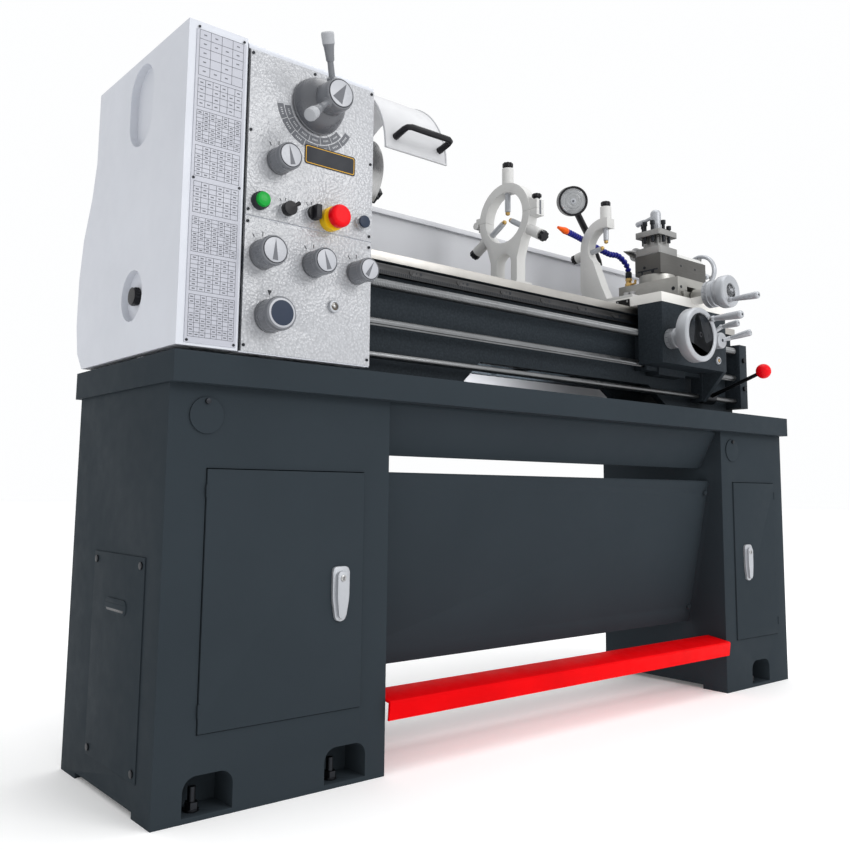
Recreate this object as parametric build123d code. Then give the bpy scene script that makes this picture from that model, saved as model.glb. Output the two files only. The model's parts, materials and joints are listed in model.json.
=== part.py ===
from build123d import *
from math import cos, radians, sin, sqrt
import os

# Geared-head centre lathe on two cabinets: 360 mm swing, about 1 m between centres.
# Millimetres. X runs along the bed (headstock at -X), the operator stands on the -Y side, Z is up.
# Every length below is measured from the spindle axis in Y and from the floor in Z; X = 0 is the
# middle of the chip tray. The finished parts are shifted by DEPTH_SHIFT so that the origin is the
# bottom centre of the whole machine.
DEPTH_SHIFT = 46.0

# Driving dimensions
AXIS_Z = 1149.0            # spindle axis above the floor
WAY_TOP = 968.0            # flat of the bed ways
WAY_HALF = 95.0            # half the width over the ways
BED_LEFT, BED_RIGHT = -798.0, 850.0
TRAY_HALF_X, TRAY_HALF_Y = 907.5, 213.0
TRAY_BOTTOM, TRAY_TOP, TRAY_SHEET = 658.0, 707.0, 3.0
CAB_FRONT, CAB_BACK, CAB_SHEET = -191.0, 193.0, 4.0
LEFT_CAB = (-903.0, -476.0)
RIGHT_CAB = (607.0, 903.0)
PLINTH = 75.0              # height of the cabinet floor
FRONT_FACE = -213.0        # face of the control panels
HEAD_X = (-799.0, -541.0)
HEAD_TOP = 1240.0
COVER_LEFT = -907.0
ROD_Y = -108.0             # lead screw, feed rod and control rod share one vertical plane
LEAD_Z, FEED_Z, CONTROL_Z = 899.0, 822.0, 756.0
LEAD_R, FEED_R, CONTROL_R = 10.0, 8.0, 7.0
RUN = 0.05                 # radial running clearance
APRON_X = (366.0, 647.0)
APRON_FRONT, APRON_BOTTOM = -190.0, 816.0
SLIDE_X = 510.0            # centre line of the cross slide and its screw
POST_X, POST_Y = 508.0, -76.0
CROSS_Z = 998.0            # axis of the cross screw
WHEEL_X, WHEEL_Z = 396.0, 876.0
REST_X = 21.0              # plane of the steady rest
FOLLOW_X = 392.0           # plane of the follow rest
TAIL_X = (655.0, 800.0)
BARREL_LEFT = 602.0        # the tailstock barrel overhangs its base towards the headstock
QUILL_R = 18.5
BARREL_R = 34.0
CHUCK_R = 80.0
GUARD_R = 167.0
GUARD_PIVOT = (120.0, 1198.0)
COVER_HINGE = (-800.0, 240.0)

PARTS = {}


def block(x0, x1, y0, y1, z0, z1):
    return Pos((x0 + x1) / 2, (y0 + y1) / 2, (z0 + z1) / 2) * Box(x1 - x0, y1 - y0, z1 - z0)


def rod_x(x0, x1, y, z, r):
    return Pos((x0 + x1) / 2, y, z) * Rot(0, 90, 0) * Cylinder(r, x1 - x0)


def rod_y(y0, y1, x, z, r):
    return Pos(x, (y0 + y1) / 2, z) * Rot(90, 0, 0) * Cylinder(r, y1 - y0)


def rod_z(z0, z1, x, y, r):
    return Pos(x, y, (z0 + z1) / 2) * Cylinder(r, z1 - z0)


def rod_between(start, end, r, r_end=None):
    """Round bar or cone from one point to another."""
    a, b = Vector(*start), Vector(*end)
    plane = Plane(origin=a, z_dir=(b - a).normalized())
    length = (b - a).length
    if r_end is None:
        return plane * Pos(0, 0, length / 2) * Cylinder(r, length)
    return plane * Pos(0, 0, length / 2) * Cone(r, r_end, length)


def prism_x(points, x0, x1):
    """Extrude a (y, z) outline along X."""
    face = Face(Wire.make_polygon([Vector(x0, y, z) for y, z in points]))
    return extrude(face, amount=x1 - x0, dir=(1, 0, 0))


def prism_y(points, y0, y1):
    """Extrude an (x, z) outline along Y."""
    face = Face(Wire.make_polygon([Vector(x, y0, z) for x, z in points]))
    return extrude(face, amount=y1 - y0, dir=(0, 1, 0))


def prism_z(points, z0, z1):
    """Extrude an (x, y) outline along Z."""
    face = Face(Wire.make_polygon([Vector(x, y, z0) for x, y in points]))
    return extrude(face, amount=z1 - z0, dir=(0, 0, 1))


def ring_x(x0, x1, y, z, outer, inner):
    return rod_x(x0, x1, y, z, outer) - rod_x(x0 - 1, x1 + 1, y, z, inner)


def ring_y(y0, y1, x, z, outer, inner):
    return rod_y(y0, y1, x, z, outer) - rod_y(y0 - 1, y1 + 1, x, z, inner)


def hexagon_z(z0, z1, x, y, across_flats):
    return Pos(x, y, (z0 + z1) / 2) * extrude(RegularPolygon(across_flats / sqrt(3), 6),
                                              amount=(z1 - z0) / 2, both=True)


def add(name, *solids):
    PARTS[name] = list(solids)


# ---------------------------------------------------------------- stand

FOOT_W, FOOT_H, FOOT_DEEP = 84.0, 66.0, 60.0
BOLT_OFFSET = -14.0        # levelling bolt left of the middle of its pocket
LEFT_FEET = (-813.0, -560.0)
RIGHT_FEET = (767.0,)
DOOR_Z = (126.0, 526.0)
LEFT_DOOR = (-835.0, -533.0)
RIGHT_DOOR = (657.0, 857.0)
DOOR_GAP = 1.5
DOOR_THICK = 18.0
HINGE_R = 2.2              # knuckles of the door hinges
PEDAL_PIVOT = (-80.0, 106.0)
PEDAL_SHAFT_R = 8.0
BELT_SLOT = (-888.0, -822.0, -45.0, 125.0)


def foot_pocket(x, y_face, into):
    """Round-topped pocket in the plinth that gives access to a levelling bolt."""
    y0, y1 = sorted((y_face - into, y_face + into * FOOT_DEEP))
    half, corner = FOOT_W / 2, 22.0
    pocket = block(x - half, x + half, y0, y1, 8, FOOT_H - corner)
    pocket += block(x - half + corner, x + half - corner, y0, y1, 8, FOOT_H)
    for side in (-1, 1):
        pocket += rod_y(y0, y1, x + side * (half - corner), FOOT_H - corner, corner)
    return pocket


def cabinet(span, door, feet):
    x0, x1 = span
    t = CAB_SHEET
    body = block(x0, x1, CAB_FRONT, CAB_BACK, 0, TRAY_BOTTOM)
    body -= block(x0 + t, x1 - t, CAB_FRONT + t, CAB_BACK - t, PLINTH, TRAY_BOTTOM - t)
    body -= block(x0 + t, x1 - t, CAB_FRONT + FOOT_DEEP + 8, CAB_BACK - FOOT_DEEP - 8, -1, PLINTH - t)
    for x in feet:
        body -= foot_pocket(x, CAB_FRONT, 1)
        body -= foot_pocket(x, CAB_BACK, -1)
    side_gap = 70.0
    body -= block(x0 - 1, x1 + 1, CAB_FRONT + side_gap, CAB_BACK - side_gap, -1, 10)
    body -= block(door[0] - DOOR_GAP, door[1] + DOOR_GAP, CAB_FRONT - 1, CAB_FRONT + t + 1,
                  DOOR_Z[0] - DOOR_GAP, DOOR_Z[1] + DOOR_GAP)
    for x in feet:
        for y in (CAB_FRONT + 26, CAB_BACK - 26):
            body -= rod_z(-1, 9, x + BOLT_OFFSET, y, 6.5)
    return body


def build_cabinets():
    left = cabinet(LEFT_CAB, LEFT_DOOR, LEFT_FEET)
    left -= block(LEFT_CAB[0] - 1, LEFT_CAB[0] + CAB_SHEET + 1, -125, 69, 62, 378)
    left -= block(*BELT_SLOT, TRAY_BOTTOM - CAB_SHEET - 1, TRAY_BOTTOM + 1)
    right = cabinet(RIGHT_CAB, RIGHT_DOOR, RIGHT_FEET)
    shaft_y, shaft_z = PEDAL_PIVOT
    left -= rod_x(LEFT_CAB[1] - CAB_SHEET - 1, LEFT_CAB[1] + 1, shaft_y, shaft_z, PEDAL_SHAFT_R + RUN)
    right -= rod_x(RIGHT_CAB[0] - 1, RIGHT_CAB[0] + CAB_SHEET + 1, shaft_y, shaft_z, PEDAL_SHAFT_R + RUN)
    add("left_cabinet", left)
    add("right_cabinet", right)


def levelling_bolt(x, y):
    """Levelling stud with a washer and nut, standing on the floor."""
    return rod_z(0, 44, x, y, 6) + hexagon_z(12, 22, x, y, 19) + rod_z(8.2, 12, x, y, 12)


def build_levelling_bolts():
    spots = [(x + BOLT_OFFSET, y) for x in LEFT_FEET + RIGHT_FEET for y in (CAB_FRONT + 26, CAB_BACK - 26)]
    add("levelling_bolts", *[levelling_bolt(x, y) for x, y in spots])


def door(span, hinge_x):
    """Folded sheet door with its hinge knuckles and the flush swing latch."""
    x0, x1 = span
    y0 = CAB_FRONT - 3
    panel = block(x0, x1, y0, y0 + DOOR_THICK, *DOOR_Z)
    panel -= block(x0 + 3, x1 - 3, y0 + 3, y0 + DOOR_THICK + 1, DOOR_Z[0] + 3, DOOR_Z[1] - 3)
    side = 1 if hinge_x > (x0 + x1) / 2 else -1
    latch_x = x1 - 48 if side < 0 else x0 + 55
    latch = block(latch_x - 17, latch_x + 17, y0 - 5, y0, 273, 366)
    latch += block(latch_x - 9, latch_x + 9, y0 - 13, y0 - 5, 279, 345)
    latch += rod_y(y0 - 9, y0 - 5, latch_x, 354, 8)
    bolt = rod_y(y0 + 3, y0 + 30, latch_x, 340, 7)
    for z in (150, 482):
        panel += rod_z(z, z + 20, hinge_x, CAB_FRONT - 3, HINGE_R)
    return panel, latch, bolt


def build_doors():
    add("left_door", *door(LEFT_DOOR, LEFT_DOOR[0]))
    add("right_door", *door(RIGHT_DOOR, RIGHT_DOOR[1]))


def build_cover_plates():
    """Side access panel, lifting-hole discs and the screws that hold them."""
    x = LEFT_CAB[0]
    y0, y1, z0, z1 = -134.0, 78.0, 52.0, 388.0
    panel = block(x - 2, x, y0, y1, z0, z1)
    louvre = prism_y([(x - 2, 298), (x - 4.5, 300), (x - 4.5, 308), (x - 2, 310)], -72, 17)
    screws = [rod_x(x - 4.5, x - 2, y, z, 6) for y in (y0 + 13, y1 - 13) for z in (z0 + 13, z1 - 13)]
    discs, pins = [], []
    for cx in (-840.0, 657.0):
        discs.append(rod_y(CAB_FRONT - 3, CAB_FRONT, cx, 610, 29))
        pins.append(rod_y(CAB_FRONT - 7, CAB_FRONT - 3, cx, 632, 4.5))
    add("cover_plates", panel + louvre, *discs, *screws, *pins)


def build_tray():
    s = TRAY_SHEET
    tray = block(-TRAY_HALF_X, TRAY_HALF_X, -TRAY_HALF_Y, TRAY_HALF_Y, TRAY_BOTTOM, TRAY_TOP)
    tray -= block(-TRAY_HALF_X + s, TRAY_HALF_X - s, -TRAY_HALF_Y + s, TRAY_HALF_Y - s,
                  TRAY_BOTTOM + s, TRAY_TOP + 1)
    tray -= block(*BELT_SLOT, TRAY_BOTTOM - 1, TRAY_BOTTOM + s + 1)
    add("chip_tray", tray)


def build_infill():
    """Slanted front rail under the tray and the leaning modesty panel below it."""
    x0, x1 = LEFT_CAB[1], RIGHT_CAB[0]
    rail = prism_x([(-176, TRAY_BOTTOM - 6), (-126, 562), (-118, 562), (-118, 574), (-160, TRAY_BOTTOM - 6)],
                   x0, x1)
    rail += block(x0, x1, -176, -60, TRAY_BOTTOM - 6, TRAY_BOTTOM)
    add("cross_beam", rail)
    panel = prism_x([(-152, 526), (-81, 165), (-77, 165), (-148, 526)], x0, x1)
    panel += prism_x([(-152, 526), (-148, 526), (-112, 522), (-112, 526), (-150, 530)], x0, x1)
    bolts = []
    for x in (x0 + 14, x1 - 14):
        for z in (500.0, 205.0):
            y = -152 + (526 - z) * 71 / 361
            bolts.append(rod_between((x, y + 4, z), (x, y - 6, z - 2), 6))
    add("modesty_panel", panel - sum_of(bolts), *bolts)


def sum_of(solids):
    total = solids[0]
    for piece in solids[1:]:
        total = total + piece
    return total


def build_pedal():
    """Foot brake treadle: folded channel on two short arms that swing on pins in the cabinets."""
    x0, x1 = LEFT_CAB[1] + 1.5, RIGHT_CAB[0] - 1.5
    tread = prism_x([(-200, 94), (-204, 125), (-201, 128), (-140, 137), (-100, 126), (-100, 122),
                     (-139, 133), (-198, 124), (-196, 94)], x0, x1)
    y, z = PEDAL_PIVOT
    pieces = [tread]
    for arm_x, pin_a, pin_b in ((x0, x0 - 12, x0 + 12), (x1 - 10, x1 - 12, x1 + 12)):
        pieces.append(prism_x([(-139, 134), (-100, 123), (y + 8, z + 8), (y + 8, z - 10), (y - 8, z - 10),
                               (-138, 120)], arm_x, arm_x + 10))
        pieces.append(rod_x(pin_a, pin_b, y, z, PEDAL_SHAFT_R))
    add("brake_pedal", sum_of(pieces))


# ---------------------------------------------------------------- bed

ARCH_TOP = 776.0
FLANGE = 18.0
WEB_OUT, WEB_IN = 80.0, 60.0


def build_bed():
    """Two-walled cast bed with flanged ways, V ridges, cross ribs and an arch between its feet."""
    floor = TRAY_BOTTOM + TRAY_SHEET
    bed = None
    for side in (-1, 1):
        ya, yb = sorted((side * WAY_HALF, side * 35.0))
        wa, wb = sorted((side * WEB_OUT, side * WEB_IN))
        flange = block(BED_LEFT, BED_RIGHT, ya, yb, WAY_TOP - FLANGE, WAY_TOP)
        ridge = prism_x([(side * 72 - 9, WAY_TOP), (side * 72 + 9, WAY_TOP), (side * 72, WAY_TOP + 8)],
                        BED_LEFT, BED_RIGHT)
        web = block(BED_LEFT, BED_RIGHT, wa, wb, floor, WAY_TOP - FLANGE)
        wall = flange + ridge + web
        bed = wall if bed is None else bed + wall
    for k in range(9):
        x = BED_LEFT + 40 + k * 196
        bed += block(x, x + 14, -WEB_IN, WEB_IN, floor + 110, WAY_TOP - FLANGE - 24)
    for span in ((BED_LEFT, -300.0), (640.0, BED_RIGHT)):
        bed += block(span[0], span[1], -WAY_HALF, WAY_HALF, floor, floor + 20)
    bed -= prism_y([(-262, floor - 1), (-145, ARCH_TOP), (455, ARCH_TOP), (640, floor - 1)], -200, 200)
    rack = block(HEAD_X[1] + 1, 812, -92, -WEB_OUT, 924, 945)
    screws = [rod_y(-93, -86, x, 937, 4.5) for x in range(-480, 800, 130)]
    add("bed", bed, rack - sum_of(screws), *screws)


def build_rod_bracket():
    """Block bolted to the tail end of the bed that carries the three rods."""
    bracket = block(816, 852, -128, -WEB_OUT, 736, 916)
    for z, r in ((LEAD_Z, LEAD_R), (FEED_Z, FEED_R), (CONTROL_Z, CONTROL_R)):
        bracket -= rod_x(815, 853, ROD_Y, z, r + RUN)
    bolts = [rod_y(-134, -128, 834, z, 7) for z in (872.0, 792.0)]
    add("rod_bracket", bracket, *bolts)


def build_rods():
    end = 846.0
    start = HEAD_X[1] - 40
    collar = rod_x(HEAD_X[1] + 2, HEAD_X[1] + 40, ROD_Y, FEED_Z, 17)
    add("lead_screw", rod_x(start, end, ROD_Y, LEAD_Z, LEAD_R) + rod_x(HEAD_X[1] + 2, HEAD_X[1] + 26, ROD_Y, LEAD_Z, 15))
    add("feed_rod", rod_x(start, end, ROD_Y, FEED_Z, FEED_R) + collar)
    add("control_rod", rod_x(start, end, ROD_Y, CONTROL_Z, CONTROL_R))


# ---------------------------------------------------------------- headstock

KNOBS = {  # name: (x, z, radius, protrusion)
    "range_knob": (-738.0, 1043.0, 23.0, 42.0),
    "gear_knob_left": (-763.0, 878.0, 25.0, 44.0),
    "gear_knob_middle": (-664.0, 878.0, 23.0, 44.0),
    "gear_knob_right": (-574.0, 878.0, 21.0, 44.0),
    "tumbler_knob": (-747.0, 777.0, 28.0, 44.0),
}
SPEED_X, SPEED_Z = -665.0, 1160.0
SPEED_HANDLES, SPEED_LEAN = (116.0, 222.0), 22.0   # handle directions and their lean to the front
LEVER_SWITCH = (-722.0, 962.0)
ROTARY_SWITCH = (-670.0, 966.0)
ESTOP = (-633.0, 963.0)
JOG = (-567.0, 971.0)
PILOT = (-772.0, 967.0)
SIGHT = (-621.0, 811.0)
STEM_R = 6.0
GEARBOX_BACK = -95.0


def stem_holes():
    """(x, z, radius) of every hole through the panels and the front wall."""
    holes = [(x, z, STEM_R) for x, z, _, _ in KNOBS.values()]
    holes += [(SPEED_X, SPEED_Z, 12.0)]
    holes += [(x, z, STEM_R) for x, z in (LEVER_SWITCH, ROTARY_SWITCH, ESTOP, JOG)]
    return holes


def build_headstock():
    """Hollow gear case on the bed, its front wall carried down over the feed gearbox."""
    x0, x1 = HEAD_X
    face = FRONT_FACE + 2
    case = block(x0, x1, face, 165, WAY_TOP + 9, HEAD_TOP)
    case = fillet(case.edges().filter_by(Axis.X).group_by(Axis.Z)[-1], 12)
    case += block(x0, x1, face, GEARBOX_BACK, 713, WAY_TOP + 9)
    case -= block(x0 + 14, x1 - 14, face + 14, 151, 990, HEAD_TOP - 16)
    case -= block(x0 + 12, x1 - 12, face + 12, ROD_Y - 34, 725, 976)
    for side in (-1, 1):
        case -= prism_x([(side * 72 - 10, WAY_TOP + 8.5), (side * 72 + 10, WAY_TOP + 8.5),
                         (side * 72, WAY_TOP + 18)], x0 - 1, x1 + 1)
    feet = [block(x0, x1, side * 52 - 30, side * 52 + 30, WAY_TOP, WAY_TOP + 9) for side in (-1, 1)]
    grooves = [block(x0 - 1, x1 + 1, side * 72 - 11, side * 72 + 11, WAY_TOP - 1, WAY_TOP + 9.5)
               for side in (-1, 1)]
    case = sum_of([case] + feet) - sum_of(grooves)
    case -= rod_x(x0 - 1, x1 + 1, 0, AXIS_Z, 45)
    case -= rod_x(x0 - 1, x0 + 20, 40, 1020, 22)
    case -= rod_x(x1 - 15, x1 + 1, *GUARD_PIVOT, 9 + RUN)
    for z, r in ((LEAD_Z, LEAD_R), (FEED_Z, FEED_R), (CONTROL_Z, CONTROL_R)):
        case -= rod_x(x1 - 45, x1 + 1, ROD_Y, z, r + RUN)
    for x, z, r in stem_holes():
        case -= rod_y(face - 1, face + 31, x, z, r + RUN)
    add("headstock_casting", case)


def build_front_panels():
    """Upper and lower control plates with the fixed fittings that they carry."""
    x0, x1 = HEAD_X[0] + 3, HEAD_X[1]
    back = FRONT_FACE + 2
    upper = block(x0, x1, FRONT_FACE, back, 941, 1225)
    lower = block(x0, x1, FRONT_FACE, back, 715, 939)
    for x, z, r in stem_holes():
        hole = rod_y(FRONT_FACE - 1, back + 1, x, z, r + RUN)
        upper -= hole
        lower -= hole
    pilot = rod_y(FRONT_FACE - 12, FRONT_FACE, *PILOT, 15) + rod_y(FRONT_FACE - 20, FRONT_FACE - 12, *PILOT, 12)
    collar = ring_y(FRONT_FACE - 16, FRONT_FACE, *ESTOP, 21, STEM_R + 1)
    sight = rod_y(FRONT_FACE - 7, FRONT_FACE, *SIGHT, 11)
    bushes = [ring_y(FRONT_FACE - 7, FRONT_FACE, x, z, 13, STEM_R + RUN) for x, z in (LEVER_SWITCH, ROTARY_SWITCH, JOG)]
    add("front_panels", upper, lower, pilot, collar, sight, *bushes)


def knob(x, z, r, out):
    """Round knob with a pointer cap on a stem through the panel."""
    gap = 0.6
    body = rod_y(FRONT_FACE - out, FRONT_FACE - gap, x, z, r)
    body = chamfer(body.edges().filter_by(GeomType.CIRCLE).sort_by(Axis.Y)[0], 2)
    return body + rod_y(FRONT_FACE - 1, FRONT_FACE + 26, x, z, STEM_R)


def build_knobs():
    for name, (x, z, r, out) in KNOBS.items():
        add(name, knob(x, z, r, out))
    hub = rod_y(FRONT_FACE - 42, FRONT_FACE - 0.6, SPEED_X, SPEED_Z, 50)
    hub = fillet(hub.edges().filter_by(GeomType.CIRCLE).sort_by(Axis.Y)[0], 14)
    hub += rod_y(FRONT_FACE - 77, FRONT_FACE - 40, SPEED_X, SPEED_Z, 28)
    hub += rod_y(FRONT_FACE - 1, FRONT_FACE + 30, SPEED_X, SPEED_Z, 12)
    handles = []
    y = FRONT_FACE - 54
    lean = radians(SPEED_LEAN)
    for angle in SPEED_HANDLES:
        a = radians(angle)
        start, neck, tip = [(SPEED_X + r * cos(lean) * cos(a), y - r * sin(lean), SPEED_Z + r * cos(lean) * sin(a))
                            for r in (20, 60, 106)]
        handles.append(rod_between(start, neck, 5))
        handles.append(rod_between(neck, tip, 7, 11))
    add("speed_selector", sum_of([hub] + handles))


def build_switches():
    x, z = LEVER_SWITCH
    lever = rod_y(FRONT_FACE - 20, FRONT_FACE - 8, x, z, 12) + rod_y(FRONT_FACE - 9, FRONT_FACE + 20, x, z, STEM_R)
    lever += rod_between((x, FRONT_FACE - 16, z), (x + 17, FRONT_FACE - 18, z + 12), 3.5)
    add("lever_switch", lever)
    x, z = ROTARY_SWITCH
    turn = rod_y(FRONT_FACE - 14, FRONT_FACE - 8, x, z, 13) + rod_y(FRONT_FACE - 9, FRONT_FACE + 20, x, z, STEM_R)
    turn += block(x - 5, x + 5, FRONT_FACE - 26, FRONT_FACE - 14, z - 12, z + 12)
    add("rotary_switch", turn)
    x, z = ESTOP
    stop = rod_y(FRONT_FACE - 42, FRONT_FACE - 26, x, z, 20)
    stop = fillet(stop.edges().filter_by(GeomType.CIRCLE).sort_by(Axis.Y)[0], 7)
    stop += rod_y(FRONT_FACE - 27, FRONT_FACE + 20, x, z, STEM_R)
    add("estop_button", stop)
    x, z = JOG
    add("jog_button", rod_y(FRONT_FACE - 16, FRONT_FACE - 12, x, z, 11) + rod_y(FRONT_FACE - 13, FRONT_FACE + 20, x, z, STEM_R))


COVER_Y = (FRONT_FACE, 170.0)


def cover_outline(inset):
    """(y, z) outline of the end cover; the lower half swells to the rear."""
    front, back = COVER_Y[0] + inset, COVER_Y[1] - inset
    bulge = 233.0 - inset
    bottom, top = 714.0 + inset, HEAD_TOP - inset
    return [(front, bottom), (front, top), (back, top), (back, 1105), (back + 16, 1040),
            (bulge - 14, 965), (bulge, 890), (bulge, 800), (bulge - 12, 745), (back + 24, bottom)]


def knob_cup(x0, x1, wall):
    return rod_x(x0, x1, -30, 817, 44 + wall)


def grip_cup(x0, x1, wall):
    """Stadium-shaped hand recess."""
    r = 49.0 + wall
    return rod_x(x0, x1, -33, 1129, r) + rod_x(x0, x1, -33, 1177, r) + block(x0, x1, -33 - r, -33 + r, 1129, 1177)


def build_end_cover():
    """Hollow end guard over the belts and change gears, with its lettering plate and clamp knob."""
    right = HEAD_X[0] - 3
    shell = prism_x(cover_outline(0), COVER_LEFT, right)
    shell -= prism_x(cover_outline(3), COVER_LEFT + 3, right + 1)
    for depth, cup in ((12.0, knob_cup), (14.0, grip_cup)):
        shell += cup(COVER_LEFT + 1, COVER_LEFT + depth + 3, 3)
        shell -= cup(COVER_LEFT - 1, COVER_LEFT + depth, 0)
    shell -= block(BELT_SLOT[0], right + 1, BELT_SLOT[2], BELT_SLOT[3], 713, 718)
    plate = block(-894, -806, FRONT_FACE - 1.5, FRONT_FACE, 718, 1226)
    hinge = rod_z(760, 860, *COVER_HINGE, 5) + block(COVER_HINGE[0] - 14, COVER_HINGE[0] - 4, 222, 243, 775, 845)
    shell += hinge
    star = rod_x(COVER_LEFT, COVER_LEFT + 12, -30, 817, 15)
    add("end_cover", shell, plate, star)


def build_drive():
    """Motor in the left cabinet, twin V belts up to the input pulley behind the end cover."""
    motor = rod_x(-800, -590, 40, 330, 82) + rod_x(-830, -800, 40, 330, 45) + rod_x(-872, -830, 40, 330, 14)
    motor += block(-790, -600, -40, 120, PLINTH, 262) - block(-780, -610, -41, 121, PLINTH + 12, 250)
    pulley = ring_x(-872, -832, 40, 330, 50, 14)
    grooves = [ring_x(x, x + 14, 40, 330, 51, 42) for x in (-869.0, -850.0)]
    add("main_motor", motor, pulley - sum_of(grooves))
    big = ring_x(-872, -832, 40, 1020, 90, 15)
    big -= sum_of([ring_x(x, x + 14, 40, 1020, 91, 82) for x in (-869.0, -850.0)])
    add("input_pulley", big + rod_x(-872, -775, 40, 1020, 15))
    belts = []
    for x in (-868.5, -849.5):
        belts.append(belt_loop(x, x + 13, (40, 330, 42.5), (40, 1020, 82.5), 8))
    add("drive_belts", *belts)


def belt_loop(x0, x1, small, large, thick):
    """Endless belt round two pulleys on one vertical line, with straight tangent runs."""
    loops = []
    for extra in (thick, 0.0):
        (y, z_low, r_low), (_, z_high, r_high) = small, large
        a, b = r_low + extra, r_high + extra
        lean = (b - a) / (z_high - z_low)
        across = sqrt(1 - lean ** 2)
        runs = [(y - a * across, z_low - a * lean), (y + a * across, z_low - a * lean),
                (y + b * across, z_high - b * lean), (y - b * across, z_high - b * lean)]
        loops.append(sum_of([prism_x(runs, x0, x1), rod_x(x0, x1, y, z_low, a), rod_x(x0, x1, y, z_high, b)]))
    return loops[0] - loops[1]


def build_electrical_cabinet():
    box = block(-790, -560, 165, 282, 780, 1180) - block(-786, -564, 169, 278, 784, 1176)
    add("electrical_cabinet", box)


def build_spindle():
    """Hollow spindle with its two bearings, nose flange, three-jaw chuck body and jaws."""
    spindle = rod_x(-852, -500, 0, AXIS_Z, 30) + rod_x(-538, -500, 0, AXIS_Z, 60)
    spindle -= rod_x(-853, -499, 0, AXIS_Z, 19)
    bearings = [ring_x(x, x + 22, 0, AXIS_Z, 44.9, 30) for x in (HEAD_X[0] + 4, HEAD_X[1] - 30)]
    gear = ring_x(-700, -664, 0, AXIS_Z, 70, 30)
    add("spindle", spindle, *bearings, gear)
    chuck = rod_x(-500, -416, 0, AXIS_Z, CHUCK_R) - rod_x(-501, -415, 0, AXIS_Z, 21)
    jaws = []
    for k in range(3):
        turn = Pos(0, 0, AXIS_Z) * Rot(30 + 120 * k, 0, 0)
        chuck -= turn * block(-446, -415, -9, 9, 26, CHUCK_R + 1)
        jaw = block(-446, -412, -9, 9, 30, 74) + block(-412, -396, -9, 9, 30, 62) + block(-396, -380, -9, 9, 30, 46)
        jaws.append(turn * jaw)
    add("chuck", chuck, *jaws)


def build_chuck_guard():
    """Quarter-round splash cover over the chuck, on an arm that swings on a pin in the headstock."""
    x0, x1 = -478.0, -322.0
    shell = ring_x(x0, x1, 0, AXIS_Z, GUARD_R, GUARD_R - 3)
    shell &= prism_x([(-GUARD_R - 5, AXIS_Z + 2), (-GUARD_R - 5, AXIS_Z + 180), (92, AXIS_Z + 180),
                      (92, AXIS_Z + 110), (0, AXIS_Z + 2)], x0, x1)
    cheek = rod_x(x0 - 4, x0, 0, AXIS_Z, GUARD_R) & prism_x(
        [(-100, AXIS_Z + 100), (-100, AXIS_Z + 180), (92, AXIS_Z + 180), (92, AXIS_Z + 100)], x0 - 4, x0)
    y, z = GUARD_PIVOT
    arm = prism_x([(y - 14, z - 14), (y + 14, z - 14), (y + 14, z + 10), (70, AXIS_Z + 152), (20, AXIS_Z + 160),
                   (20, AXIS_Z + 104)], x0 - 4, x0)
    pin = rod_x(HEAD_X[1] - 13, x0, y, z, 9)
    handle = []
    for x in (-452.0, -340.0):
        handle.append(rod_between((x, -160, 1177), (x, -204, 1188), 6))
    handle.append(rod_x(-452, -340, -204, 1188, 6))
    guard = sum_of([shell, cheek, arm, pin])
    add("chuck_guard", guard, sum_of(handle) - rod_x(x0 - 5, x1 + 5, 0, AXIS_Z, GUARD_R))


# ---------------------------------------------------------------- carriage

def build_saddle():
    """H-shaped saddle on the ways with the cross-slide dovetail and the screw bracket."""
    x0, x1 = APRON_X
    bottom = WAY_TOP + 0.4
    saddle = block(x0, x1, APRON_FRONT, 118, bottom, 993)
    saddle -= block(x0 - 1, x0 + 62, 20, 140, bottom - 1, 994)
    saddle += block(x0, x0 + 62, -WAY_HALF - 14, 60, bottom, 993)
    for side in (-1, 1):
        saddle -= block(x0 - 1, x1 + 1, side * 72 - 10, side * 72 + 10, bottom - 1, WAY_TOP + 8.6)
    dove = [(-52, 993), (52, 993), (60, 1008.6), (-60, 1008.6)]
    saddle += prism_y([(SLIDE_X + dx * 0.8, z) for dx, z in dove], APRON_FRONT + 2, 112)
    saddle += rod_y(-226, APRON_FRONT, SLIDE_X, CROSS_Z, 20)
    saddle -= rod_y(-227, -60, SLIDE_X, CROSS_Z, 8 + RUN)
    add("saddle", saddle)


def build_cross_slide():
    y0, y1 = -182.0, 4.0
    slide = block(SLIDE_X - 62, SLIDE_X + 62, y0, y1, 1009, 1046)
    slide -= rod_z(1030, 1047, POST_X, POST_Y, 10 + RUN)
    slide -= block(SLIDE_X - 22, SLIDE_X + 22, y0 - 1, y1 - 16, 1008, 1024)
    for side in (-1, 1):
        gib = [(SLIDE_X + side * 49.4, 1009), (SLIDE_X + side * 62, 1009), (SLIDE_X + side * 62, 994.5),
               (SLIDE_X + side * 43.6, 994.5)]
        slide += prism_y(gib, y0, y1)
    add("cross_slide", slide)


def handwheel_y(x, z, y_front, r, rim, width, hub_r, hub_back):
    """Dished handwheel facing -Y: rim, web and hub."""
    wheel = ring_y(y_front, y_front + width, x, z, r, r - rim)
    wheel += rod_y(y_front + width - 6, y_front + width, x, z, r)
    wheel += rod_y(y_front + width * 0.4, hub_back, x, z, hub_r)
    return wheel


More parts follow.
